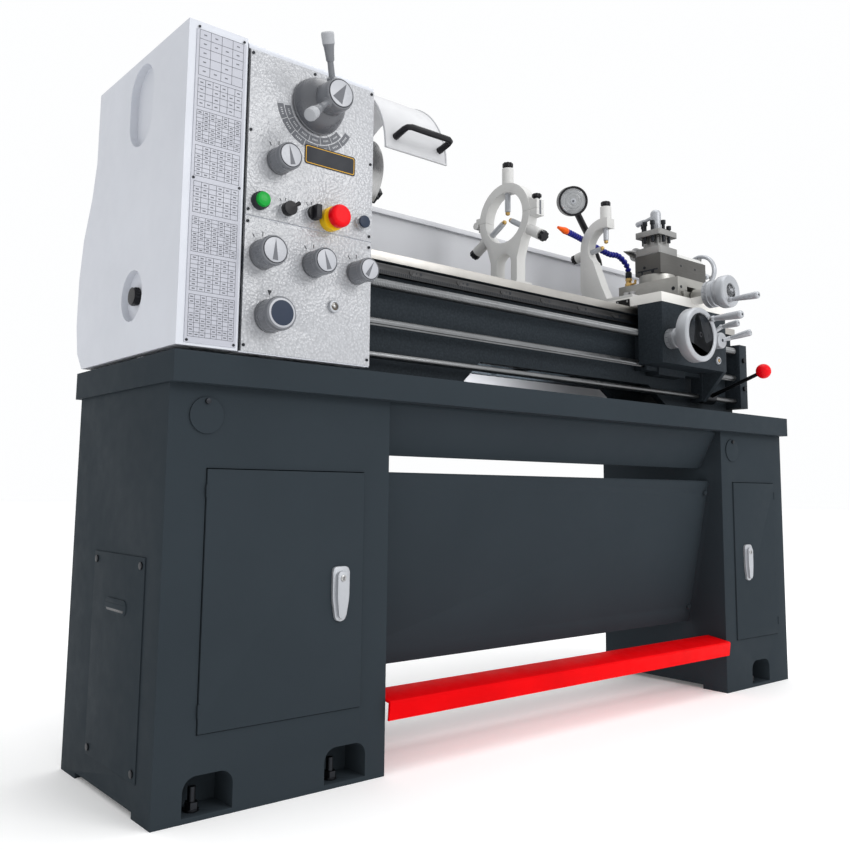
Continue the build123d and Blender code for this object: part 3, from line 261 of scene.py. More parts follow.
class Piece:
    """Mesh under construction: shapes in millimetres, each with its own material."""

    def __init__(self, name, body, slot=None):
        self.name = name
        self.body = body
        self.slot = slot
        self.bm = bmesh.new()
        self.mats = []

    def index(self, mat):
        if mat not in self.mats:
            self.mats.append(mat)
        return self.mats.index(mat)

    def paint_new(self, faces, mat):
        number = self.index(mat)
        for face in faces:
            face.material_index = number
            face.smooth = True

    def skin(self, rings, mat, cap_start=True, cap_end=True, closed=True):
        """Join rings of points (metres) into a skin."""
        rows = [[self.bm.verts.new(p) for p in ring] for ring in rings]
        count = len(rows[0])
        faces = []
        last = count if closed else count - 1
        for low, high in zip(rows, rows[1:]):
            for k in range(last):
                j = (k + 1) % count
                faces.append(self.bm.faces.new((low[k], low[j], high[j], high[k])))
        if cap_start:
            faces.append(self.bm.faces.new(rows[0][::-1]))
        if cap_end:
            faces.append(self.bm.faces.new(rows[-1]))
        self.paint_new(faces, mat)
        return faces

    def lathe(self, origin, direction, profile, mat, segments=40, flutes=0, depth=0.0):
        """Turn a profile of (distance along, radius) round an axis; flutes ripple the radius."""
        basis = axis_frame(at(*origin), direction)
        rings = []
        for along, radius in profile:
            ring = []
            for k in range(segments):
                a = 2 * pi * k / segments
                r = max(radius, 0.01) * (1 + depth * cos(flutes * a)) / 1000
                ring.append(basis @ Vector((r * cos(a), r * sin(a), along / 1000)))
            rings.append(ring)
        return self.skin(rings, mat)

    def tube(self, points, radii, mat, segments=20):
        """Round bar through points in millimetres; one radius, or one for each point."""
        spots = [at(*p) for p in points]
        if not isinstance(radii, (list, tuple)):
            radii = [radii] * len(spots)
        rings = []
        side = None
        for k, spot in enumerate(spots):
            before = spots[max(k - 1, 0)]
            after = spots[min(k + 1, len(spots) - 1)]
            way = (after - before).normalized()
            if side is None:
                side = way.orthogonal().normalized()
            side = (side - way * side.dot(way)).normalized()
            other = way.cross(side)
            r = radii[k] / 1000
            rings.append([spot + (side * cos(2 * pi * j / segments) + other * sin(2 * pi * j / segments)) * r
                          for j in range(segments)])
        return self.skin(rings, mat)

    def block(self, x0, x1, y0, y1, z0, z1, mat, bevel=0.6, turn=None):
        """Box with rounded edges; turn is an optional matrix in metres."""
        low, high = at(x0, y0, z0), at(x1, y1, z1)
        made = bmesh.ops.create_cube(self.bm, size=1.0)
        middle = (low + high) / 2
        size = high - low
        for vert in made["verts"]:
            vert.co = Vector([vert.co[i] * size[i] + middle[i] for i in range(3)])
        edges = list({e for v in made["verts"] for e in v.link_edges})
        if bevel:
            done = bmesh.ops.bevel(self.bm, geom=edges, offset=bevel / 1000, segments=2, profile=0.6,
                                   affect="EDGES", clamp_overlap=True)
            verts = done["verts"]
        else:
            verts = made["verts"]
        verts = list({v for v in verts})
        if turn:
            for vert in verts:
                vert.co = turn @ vert.co
        self.paint_new({f for v in verts for f in v.link_faces}, mat)

    def prism(self, outline, origin, direction, up, depth, mat, bevel=0.0):
        """Extrude a flat outline of (right, up) points in millimetres along a direction."""
        d = Vector(direction).normalized()
        u = Vector(up).normalized()
        r = u.cross(d)
        base = at(*origin)
        rows = []
        for shift in (0, depth / 1000):
            rows.append([base + r * (a / 1000) + u * (b / 1000) + d * shift for a, b in outline])
        low = [self.bm.verts.new(p) for p in rows[0]]
        high = [self.bm.verts.new(p) for p in rows[1]]
        faces = [self.bm.faces.new(low[::-1]), self.bm.faces.new(high)]
        top = faces[1]
        for k in range(len(low)):
            j = (k + 1) % len(low)
            faces.append(self.bm.faces.new((low[k], low[j], high[j], high[k])))
        self.paint_new(faces, mat)
        if bevel:
            done = bmesh.ops.bevel(self.bm, geom=list(top.edges), offset=bevel / 1000, segments=2,
                                   profile=0.6,
                                   affect="EDGES", clamp_overlap=True)
            self.paint_new(done["faces"], mat)

    def screw(self, origin, direction, r, mat=None, head=None):
        """Socket-head cap screw: rounded head with a hexagon hole."""
        mat = mat or BLACKED
        head = head or r * 1.0
        basis = axis_frame(at(*origin), direction)
        outer = [(0, r), (head * 0.85, r), (head, r * 0.86), (head, r * 0.56)]
        rings = []
        for along, radius in outer:
            rings.append([basis @ Vector((radius / 1000 * cos(pi * k / 12), radius / 1000 * sin(pi * k / 12),
                                          along / 1000)) for k in range(24)])
        for along in (head, head * 0.35):
            ring = []
            for k in range(24):
                a = pi * k / 12
                flat = r * 0.46 / cos((a % (pi / 3)) - pi / 6)
                ring.append(basis @ Vector((flat / 1000 * cos(a), flat / 1000 * sin(a), along / 1000)))
            rings.append(ring)
        self.skin(rings, mat)

    def hexagon(self, origin, direction, across, height, mat=None):
        mat = mat or SCREW_STEEL
        basis = axis_frame(at(*origin), direction)
        r = across / sqrt(3)
        rings = []
        for along, scale in ((0, 1.0), (height * 0.85, 1.0), (height, 0.9)):
            rings.append([basis @ Vector((r * scale / 1000 * cos(pi * k / 3),
                    r * scale / 1000 * sin(pi * k / 3),
                                          along / 1000)) for k in range(6)])
        self.skin(rings, mat)

    def done(self, *nodes, sharp=34):
        bmesh.ops.recalc_face_normals(self.bm, faces=self.bm.faces[:])
        mesh = bpy.data.meshes.new(self.name)
        self.bm.to_mesh(mesh)
        self.bm.free()
        for mat in self.mats:
            mesh.materials.append(mat)
        for poly in mesh.polygons:
            poly.use_smooth = True
        mesh.set_sharp_from_angle(angle=radians(sharp))
        piece = bpy.data.objects.new(self.name, mesh)
        bpy.context.scene.collection.objects.link(piece)
        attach(piece, self.body)
        if nodes:
            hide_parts(*nodes)
        return piece


def parts_of(bm):
    """Face groups of a mesh that are not joined to each other."""
    left = set(bm.faces)
    groups = []
    while left:
        seed = left.pop()
        group, edge = {seed}, [seed]
        while edge:
            face = edge.pop()
            for vert in face.verts:
                for other in vert.link_faces:
                    if other in left:
                        left.discard(other)
                        group.add(other)
                        edge.append(other)
        groups.append(group)
    return groups


def refine(node, choose, bevel=1.0, sharp=30, segments=2):
    """Copy of a CAD node with rounded edges; choose(centre, normal, part box) gives a material or None."""
    body = frame["nodes"][node]["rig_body"]
    source = frame["nodes"][node].data
    bm = bmesh.new()
    bm.from_mesh(source)
    bmesh.ops.remove_doubles(bm, verts=bm.verts[:], dist=0.00001)
    bmesh.ops.dissolve_limit(bm, angle_limit=radians(1.0), verts=bm.verts[:], edges=bm.edges[:])
    edges = [e for e in bm.edges if len(e.link_faces) == 2 and e.calc_face_angle(0) > radians(28)]
    if bevel and edges:
        bmesh.ops.bevel(bm, geom=edges, offset=bevel / 1000, segments=segments, profile=0.65, affect="EDGES",
                        clamp_overlap=True, miter_outer="SHARP")
    mats = []
    unwanted = []
    for group in parts_of(bm):
        points = [v.co for f in group for v in f.verts]
        low = Vector([min(p[i] for p in points) for i in range(3)])
        high = Vector([max(p[i] for p in points) for i in range(3)])
        for face in group:
            mat = choose(machine(face.calc_center_median()), face.normal, (machine(low), machine(high)))
            if mat is None:
                unwanted.append(face)
                continue
            if mat not in mats:
                mats.append(mat)
            face.material_index = mats.index(mat)
    bmesh.ops.delete(bm, geom=unwanted, context="FACES")
    mesh = bpy.data.meshes.new(node + "_shape")
    bm.to_mesh(mesh)
    bm.free()
    for mat in mats:
        mesh.materials.append(mat)
    for poly in mesh.polygons:
        poly.use_smooth = True
    mesh.set_sharp_from_angle(angle=radians(sharp))
    piece = bpy.data.objects.new(node + "_shape", mesh)
    bpy.context.scene.collection.objects.link(piece)
    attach(piece, body)
    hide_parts(node)
    return piece


def machine(point):
    """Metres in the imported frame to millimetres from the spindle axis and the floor."""
    return Vector((point.x * 1000, point.y * 1000 - DEPTH_SHIFT, point.z * 1000))


def all_of(mat):
    return lambda centre, normal, box: mat


def rounded(corners, radius, steps=5):
    """Flat outline with a small curve in place of each corner."""
    out = []
    count = len(corners)
    for k, corner in enumerate(corners):
        here = Vector(corner)
        back = Vector(corners[k - 1]) - here
        ahead = Vector(corners[(k + 1) % count]) - here
        reach = min(radius, back.length / 2.02, ahead.length / 2.02)
        first, last = here + back.normalized() * reach, here + ahead.normalized() * reach
        for j in range(steps + 1):
            t = j / steps
            point = first * (1 - t) ** 2 + here * 2 * t * (1 - t) + last * t * t
            out.append((point.x, point.y))
    return out


def slab(half_w, half_h, radius):
    return rounded([(-half_w, half_h), (half_w, half_h), (half_w, -half_h), (-half_w, -half_h)], radius)


FRONT = ((0, -1, 0), (0, 0, 1))


# ------------------------------------------------------------------ stand and bed

def build_stand():
    for node, bevel in (("left_cabinet", 1.6), ("right_cabinet", 1.6), ("chip_tray", 0.7),
                        ("cross_beam", 1.6)):
        refine(node, all_of(CHARCOAL), bevel)
    refine("modesty_panel", lambda c, n, box: CHARCOAL if box[1].x - box[0].x > 100 else BLACKED,
           1.2)
    refine("cover_plates", lambda c, n, box: CHARCOAL if box[1].z - box[0].z > 30 else BLACKED,
           0.8)
    refine("levelling_bolts", all_of(BLACKED), 0.8)
    refine("brake_pedal", all_of(RED), 0.9)
    for node, x in (("left_door", -581.0), ("right_door", 712.0)):
        refine(node, lambda c, n, box: CHARCOAL if box[1].z - box[0].z > 200 else None, 1.2)
        build_latch(node, x)
    pull = Piece("side_panel_pull", "frame", "charcoal_paint")
    sideways = ((-1, 0, 0), (0, 0, 1))
    pull.prism(slab(44, 12, 12), (-904.9, -27, 304), *sideways, 1.9, CHARCOAL, 1.0)
    # black slab in the pull's opening: painted shade of the recess
    pull.prism(slab(37, 6, 6), (-905, -27, 302), *sideways, 2.2, BORE, 0.3)
    pull.done()


def build_latch(body, x):
    """Flush swing handle: tapered back plate, raised lever, lock and hinge pin."""
    latch = Piece(body + "_latch", body, "bright_steel")
    plate = rounded([(-17, 46), (17, 46), (17, -8), (10, -46), (-10, -46), (-17, -8)], 10)
    latch.prism(plate, (x, -194, 319.5), *FRONT, 5, SATIN, 1.6)
    lever = rounded([(-10.5, 38), (10.5, 38), (10.5, -6), (6.5, -41), (-6.5, -41), (-10.5, -6)], 8)
    latch.prism(lever, (x, -198.8, 319.5), *FRONT, 6.2, SATIN, 2.2)
    latch.lathe((x, -204.6, 346), (0, -1, 0), [(0, 5.6), (1.2, 5.6), (1.8, 4.6)], TURNED, 28)
    # keyway: a thin black block, painted shade of the key slot
    latch.block(x - 0.7, x + 0.7, -206.9, -206.2, 342.8, 349.2, INK_AND_KEYWAY_SHADE, 0)
    latch.lathe((x, -198.8, 279.5), (0, -1, 0), [(0, 3), (0.8, 3), (1.2, 2)], SCREW_STEEL, 20)
    latch.tube([(x, -191, 340), (x, -164, 340)], 7, SCREW_STEEL)
    latch.done()


def bed_choice(centre, normal, box):
    if box[1].x - box[0].x < 40:
        return BORE
    if box[1].z - box[0].z < 40:
        return RACK_STEEL
    if centre.z > WAY_TOP - 17.5 and abs(centre.y) > 34:
        return GROUND
    return CAST_CHARCOAL


def build_rack_teeth():
    """Teeth along the lower edge of the rack, drawn as fine notches: black strips that paint the shade in the
    tooth gaps, and black discs that paint the shade in the holes above them.
    """
    teeth = Piece("rack_teeth", "frame", "dark_steel")
    for k in range(256):
        x = -534 + 5.24 * k
        teeth.block(x, x + 2.6, -92.5, -91.8, 925, 932, BORE, 0)
    for x in range(-480, 800, 130):
        for dx, r in ((14, 2), (26, 3.4)):
            teeth.lathe((x + dx, -91.8, 938), (0, -1, 0), [(0, r), (0.4, r)], BORE, 20)
    teeth.done()


def build_bed():
    refine("bed", bed_choice, 0.8)
    refine("rod_bracket", lambda c, n, box: CAST_CHARCOAL if box[1].z - box[0].z > 60 else BLACKED,
           1.5)
    build_rack_teeth()


def build_rods():
    start, end = -578.0, 846.0
    screw = Piece("lead_screw_thread", "lead_screw", "bright_steel")
    pitch, segments = 4.0, 20
    rings = []
    steps = int((end - start) / pitch * 4)
    for k in range(steps + 1):
        x = start + (end - start) * k / steps
        ring = []
        for j in range(segments):
            a = 2 * pi * j / segments
            phase = (x / pitch + j / segments) % 1.0
            r = 10.0 if phase < 0.5 or x < -500 or x > 812 else 9.2
            ring.append(at(x, ROD_Y + r * cos(a), LEAD_Z + r * sin(a)))
        rings.append(ring)
    screw.skin(rings, ROD_STEEL)
    screw.lathe((-538, ROD_Y, LEAD_Z), (1, 0, 0), [(0, 15), (20, 15), (22, 13.5)], TURNED)
    screw.done("lead_screw")
    feed = Piece("feed_rod_shaft", "feed_rod", "bright_steel")
    rings = []
    for x in (start, -500, -499.5, 811.5, 812, end):
        cut = -500 < x < 812
        ring = []
        for j in range(32):
            a = 2 * pi * j / 32
            r = 5.2 if cut and j in (20, 21, 22) else 8.0
            ring.append(at(x, ROD_Y + r * cos(a), FEED_Z + r * sin(a)))
        rings.append(ring)
    feed.skin(rings, ROD_STEEL)
    feed.lathe((-538, ROD_Y, FEED_Z), (1, 0, 0), [(0, 15.5), (1.5, 17), (13, 17), (13, 16)], BLACKED)
    feed.lathe((-525, ROD_Y, FEED_Z), (1, 0, 0), [(0, 16), (0.5, 17), (9, 17), (9.5, 15.5)], WHITE)
    feed.lathe((-515.5, ROD_Y, FEED_Z), (1, 0, 0), [(0, 15.5), (1, 16.5), (13, 16.5), (14.5, 14)], BLACKED)
    feed.done("feed_rod")
    refine("control_rod", all_of(ROD_STEEL), 0.8)


# ------------------------------------------------------------------ headstock

KNOBS = (
    ("range_knob", -738.0, 1043.0, 23.0, 42.0, 104),
    ("gear_knob_left", -763.0, 878.0, 25.0, 44.0, 90),
    ("gear_knob_middle", -664.0, 878.0, 23.0, 44.0, 108),
    ("gear_knob_right", -574.0, 878.0, 21.0, 44.0, 62),
    ("tumbler_knob", -747.0, 777.0, 28.0, 44.0, 90),
)


def polar(radius, degrees, count=1, span=0.0):
    return [(radius * cos(radians(degrees + span * k)),
             radius * sin(radians(degrees + span * k))) for k in range(count)]


def pointer_cap(piece, x, y, z, r, pointer, spread):
    """Silver disc with a dark rim and a long pointer triangle."""
    piece.lathe((x, y, z), (0, -1, 0), [(0, r), (0.4, r), (0.6, r * 0.9)], INK_AND_KEYWAY_SHADE, 56)
    piece.lathe((x, y - 0.2, z), (0, -1, 0), [(0, r * 0.93), (0.8, r * 0.93), (1, r * 0.88)], CAP_FACE, 56)
    tip = polar(r * 0.86, pointer) + polar(r * 0.8, pointer + 180 - spread) + polar(r * 0.8,
            pointer + 180 + spread)
    piece.prism(tip, (x, y - 1.1, z), *FRONT, 0.3, GREY_INK)


def build_knobs():
    for name, x, z, r, out, pointer in KNOBS:
        knob = Piece(name + "_turned", name, "grey_plastic")
        face = PANEL - 0.6
        end = out - 2.2
        knob.lathe((x, face, z), (0, -1, 0), [(0, r * 0.97), (1, r), (7, r), (8, r * 0.93), (9, r * 0.93)],
                   SLATE_PLASTIC, 72)
        knob.lathe((x, face - 8, z), (0, -1, 0), [(0, r * 0.96), (end - 21, r * 0.96)], GREY_PLASTIC, 96, 24,
                   0.014)
        knob.lathe((x, face - end + 13.4, z), (0, -1, 0),
                   [(0, r * 0.9), (0.6, r * 0.97), (2, r), (10.4, r), (12.4, r * 0.96),
                                                           (13.4, r * 0.88)], GREY_PLASTIC, 72)
        if name == "tumbler_knob":
            knob.lathe((x, face - end, z), (0, -1, 0), [(0, r * 0.86), (0.6, r * 0.86), (0.9, r * 0.8)],
                       CAP_FACE, 56)
            knob.lathe((x, face - end - 0.4, z), (0, -1, 0),
                       [(0, r * 0.74), (0.8, r * 0.74), (0.9, r * 0.66)], NAVY_DISC, 56)
        else:
            pointer_cap(knob, x, face - end, z, r * 0.88, pointer, 17)
        knob.done(name)


def build_speed_selector():
    piece = Piece("speed_selector_turned", "speed_selector", "grey_plastic")
    origin = (SPEED_X, PANEL - 0.6, SPEED_Z)
    piece.lathe(origin, (0, -1, 0), [(0, 49.5), (1, 50), (5, 50), (6, 48.6), (14, 47.6), (24, 43.5),
                                     (33, 36.5), (38, 30),
                                     (40, 27)], SLATE_PLASTIC, 80)
    piece.lathe((SPEED_X, PANEL - 38, SPEED_Z), (0, -1, 0),
                [(0, 26), (3, 28), (32, 28), (36, 26.5), (37.2, 24.4)], GREY_PLASTIC, 80)
    pointer_cap(piece, SPEED_X, PANEL - 75.2, SPEED_Z, 24.4, 62, 33)
    lean = radians(22)
    for degrees in (116, 222):
        a = radians(degrees)
        way = Vector((cos(lean) * cos(a), -sin(lean), cos(lean) * sin(a)))
        hub = Vector((SPEED_X, PANEL - 54, SPEED_Z))
        piece.lathe(tuple(hub + way * 24), way, [(0, 9), (8, 9), (10, 5.5), (38, 5.2)], GREY_PLASTIC, 28)
        piece.lathe(tuple(hub + way * 58), way, [(0, 5.6), (2, 7), (14, 7.8), (24, 9), (29, 10.4)],
                    GREY_PLASTIC, 40)
        piece.lathe(tuple(hub + way * 87), way, [(0, 10.4), (14, 11), (17.5, 10.2), (18.4, 8), (18.6, 2)],
                    LIGHT_PLASTIC, 40)
    piece.done("speed_selector")


def dial_marks(piece, x, z, inner, outer, first, step, count, width=1.2):
    """Short radial strokes on the panel face."""
    for k in range(count):
        a = radians(first + step * k)
        c, s = cos(a), sin(a)
        side = width / 2
        outline = [(inner * c + side * s, inner * s - side * c), (outer * c + side * s, outer * s - side * c),
                   (outer * c - side * s, outer * s + side * c), (inner * c - side * s, inner * s + side * c)]
        piece.prism(outline, (x, PANEL - 0.02, z), (0, -1, 0), (0, 0, 1), 0.35, INK_AND_KEYWAY_SHADE)


def arc_plate(piece, x, z, inner, outer, first, last, thick, mat):
    steps = 28
    outline = [(outer * cos(radians(first + (last - first) * k / steps)),
                outer * sin(radians(first + (last - first) * k / steps))) for k in range(steps + 1)]
    outline += [(inner * cos(radians(last - (last - first) * k / steps)),
                 inner * sin(radians(last - (last - first) * k / steps))) for k in range(steps + 1)]
    piece.prism(outline, (x, PANEL - 0.02, z), (0, -1, 0), (0, 0, 1), thick, mat)


def panel_choice(centre, normal, box):
    x, z = (box[0].x + box[1].x) / 2, (box[0].z + box[1].z) / 2
    if box[1].x - box[0].x > 100:
        return HAMMERED
    if abs(x + 772) < 4 and abs(z - 967) < 4:
        return None
    if abs(x + 633) < 4 and abs(z - 963) < 4:
        return YELLOW_PLASTIC
    if abs(x + 621) < 4 and abs(z - 811) < 4:
        return None
    return LIGHT_PLASTIC


def speed_chart(trim):
    """Two rows of blank cells round the foot of the speed selector."""
    for inner, outer, first, last, cells in ((54, 66, 192, 322, 6), (68, 80, 190, 334, 7)):
        arc_plate(trim, SPEED_X, SPEED_Z, inner, outer, first, last, 0.5, GREY_INK)
        for k in range(cells + 1):
            a = first + (last - first) * k / cells
            arc_plate(trim, SPEED_X, SPEED_Z, inner, outer, a - 0.45, a + 0.45, 0.8, PALE_INK)
        for k in range(cells):
            a = first + (last - first) * (k + 0.5) / cells
            for shift in (-4, -1.3, 1.4, 4.1):
                arc_plate(trim, SPEED_X, SPEED_Z, inner + 4.4, inner + 7.6, a + shift - 0.7, a + shift + 0.7,
                          0.7, PALE_INK)


def maker_plate(trim):
    """Blank name plate: dark field inside a thin amber line."""
    x, z = -634.0, 1071.5
    trim.prism(slab(53, 17.5, 5), (x, PANEL - 0.02, z), *FRONT, 0.8, INK_AND_KEYWAY_SHADE, 0.2)
    trim.prism(slab(51, 15.5, 4), (x, PANEL - 0.7, z), *FRONT, 0.3, AMBER)
    trim.prism(slab(49.6, 14.1, 3), (x, PANEL - 0.9, z), *FRONT, 0.3, INK_AND_KEYWAY_SHADE)


def fittings(trim):
    """Pilot lamp, oil sight glass and small position marks on the plates."""
    x, z = -772, 967
    trim.lathe((x, PANEL, z), (0, -1, 0), [(0, 15), (6, 15), (7, 14.5), (12, 14.5), (12.5, 13)], INK_AND_KEYWAY_SHADE, 56)
    trim.lathe((x, PANEL - 11.5, z), (0, -1, 0), [(0, 12.6), (5, 12.6), (7, 11.4), (8.3, 8), (8.5, 3)],
               GREEN_LENS, 56)
    x, z = -621, 811
    trim.lathe((x, PANEL, z), (0, -1, 0), [(0, 11), (4.5, 11), (6, 10.4), (6.6, 9), (6.6, 7.4), (4.6, 6.8)],
               SATIN, 56)
    trim.lathe((x, PANEL - 3.4, z), (0, -1, 0), [(0, 7), (1.6, 7), (1.8, 6)], OIL_GLASS, 40)
    trim.lathe((x, PANEL - 4.9, z), (0, -1, 0), [(0, 2.6), (0.5, 2.6), (0.7, 2)], SCREW_STEEL, 24)
    triangle = [(-4, 5), (4, 5), (0, -4)]
    trim.prism(triangle, (-747, PANEL - 0.02, 816), *FRONT, 0.4, INK_AND_KEYWAY_SHADE)


def build_headstock():
    refine("headstock_casting", all_of(COVER_WHITE), 1.5)
    refine("front_panels", panel_choice, 0.8)
    trim = Piece("panel_marks", "frame", "black_plastic")
    speed_chart(trim)
    maker_plate(trim)
    fittings(trim)
    trim.block(-799.2, -797.2, PANEL - 0.1, PANEL + 3, 715, 1225, BORE, 0)
    for name, x, z, r, out, pointer in KNOBS[:4]:
        dial_marks(trim, x, z, r + 6, r + 13, 60, 30, 3)
    dial_marks(trim, -722, 962, 17, 22, 60, 30, 3)
    dial_marks(trim, -670, 966, 17, 22, 60, 30, 3)
    for x, z in ((-792, 1219), (-547, 1219), (-792, 1085), (-547, 1085), (-792, 950), (-547, 950),
                 (-792, 930), (-547, 930),
                 (-792, 725), (-547, 725), (-670, 1219)):
        trim.screw((x, PANEL, z), (0, -1, 0), 2.6, BLACKED, 1.8)
    trim.done()
    refine("lever_switch", lambda c, n, box: BLACK_PLASTIC, 0.8)
    refine("rotary_switch", all_of(BLACK_PLASTIC), 0.8)
    refine("jog_button", all_of(NAVY_DISC), 0.8)
    refine("estop_button", all_of(RED_PLASTIC), 0.8)


def build_end_cover():
    def choice(centre, normal, box):
        if box[1].x - box[0].x < 14:
            return BLACK_PLASTIC
        return PLATE if box[1].y - box[0].y < 3 else COVER_WHITE
    refine("end_cover", choice, 2.2, segments=3)
    chart = Piece("thread_chart_lines", "end_cover", "black_plastic")
    y = PANEL - 1.5
    tables = ((1150, 1226, 5, 4), (1098, 1144, 4, 6), (1040, 1092, 8, 7), (984, 1034, 7, 6), (925, 975, 6, 6),
              (862, 918, 9, 7),
              (800, 856, 8, 6), (728, 794, 9, 8))
    for z0, z1, rows, columns in tables:
        for k in range(rows + 1):
            z = z0 + (z1 - z0) * k / rows
            chart.block(-889, -811, y - 0.2, y, z - 0.35, z + 0.35, GREY_INK, 0)
        for k in range(columns + 1):
            x = -889 + 78 * k / columns
            chart.block(x - 0.35, x + 0.35, y - 0.2, y, z0, z1, GREY_INK, 0)
        for row in range(rows):
            for column in range(columns):
                if (row * 3 + column * 5) % 7 in (0, 2, 3, 5, 6):
                    x = -889 + 78 * (column + 0.5) / columns
                    z = z0 + (z1 - z0) * (row + 0.5) / rows
                    chart.block(x - 2.6, x + 2.6, y - 0.2, y, z - 0.9, z + 0.9, GREY_INK, 0)
    for x in (-890, -810):
        for z in (722, 980, 1230):
            chart.screw((x, y, z), (0, -1, 0), 2.2, BLACKED, 1.2)
    chart.done()
    star = Piece("cover_star_knob", "end_cover", "black_plastic")
    star.lathe((-895, -30, 817), (-1, 0, 0), [(0, 10), (2, 15), (9, 15), (11, 12), (11.5, 5)], BLACK_PLASTIC,
               60, 6, 0.12)
    star.done()


def build_guard_trim():
    """Raised rims round the chuck guard and its bent grab handle."""
    trim = Piece("chuck_guard_trim", "chuck_guard", "white_paint")
    for x in (-476.5, -323.5):
        points = []
        for k in range(25):
            a = radians(88 + 91 * k / 24)
            points.append((x, 167.2 * cos(a), AXIS_Z + 167.2 * sin(a)))
        trim.tube(points, 2.0, GUARD_WHITE, 12)
    trim.tube([(-476, -167, AXIS_Z + 4), (-324, -167, AXIS_Z + 4)], 2.2, GUARD_WHITE, 12)
    trim.done()
    handle = Piece("chuck_guard_handle", "chuck_guard", "black_plastic")
    path = [(-452, -162, 1178), (-452, -192, 1185.4), (-450, -200, 1187.4), (-443, -204, 1188),
            (-396, -204, 1188),
            (-349, -204, 1188), (-342, -200, 1187.4), (-340, -192, 1185.4), (-340, -162, 1178)]
    handle.tube(path, [7, 6.4, 6, 6, 6.4, 6, 6, 6.4, 7], BLACK_PLASTIC, 24)
    handle.done()


def build_spindle():
    def chuck_choice(centre, normal, box):
        return BLACKED if box[1].x - box[0].x < 70 else TURNED
    refine("spindle", all_of(TURNED), 0.8)
    refine("chuck", chuck_choice, 1.2)
    refine("chuck_guard", lambda c, n, box: None if box[1].z - box[0].z < 40 else GUARD_WHITE,
           0.9)
    build_guard_trim()


# ------------------------------------------------------------------ carriage

def grip(piece, origin, direction, length, r0, r1, mat):
    """Turned machine handle: collar, straight taper and a domed end with a screw hole."""
    waist = r0 * 0.82
    piece.lathe(origin, direction, [(0, r0), (5, r0), (7, waist), (length * 0.5, (waist + r1) * 0.53),
                                    (length * 0.9, r1),
                                    (length * 0.96, r1 * 0.96), (length * 0.99, r1 * 0.82),
                                    (length, r1 * 0.6)], mat, 40)
    tip = Vector(origin) + Vector(direction).normalized() * (length - 0.2)
    # the screw hole is a flat black disc: painted shade in the hole
    piece.lathe(tuple(tip), direction, [(0, r1 * 0.3), (0.5, r1 * 0.3)], BORE, 20)


def graduations(piece, centre, radius, y0, y1, count, mat=None):
    """Engraved lines round a dial that faces the operator."""
    for k in range(count):
        a = 2 * pi * k / count
        long = k % 5 == 0
        deep = y1 if long else y0 + (y1 - y0) * 0.6
        origin = at(centre[0] + radius * cos(a), 0, centre[1] + radius * sin(a))
        turn = Matrix.Translation(origin) @ Matrix.Rotation(-a, 4, "Y")
        low, high = (y0 + 0.0) / 1000, deep / 1000
        shape = bmesh.ops.create_cube(piece.bm, size=1.0)
        for vert in shape["verts"]:
            local = Vector((vert.co.x * 0.0003, low + (vert.co.y + 0.5) * (high - low), vert.co.z * 0.0006))
            vert.co = turn @ local
        piece.paint_new({f for v in shape["verts"] for f in v.link_faces}, mat or INK_AND_KEYWAY_SHADE)


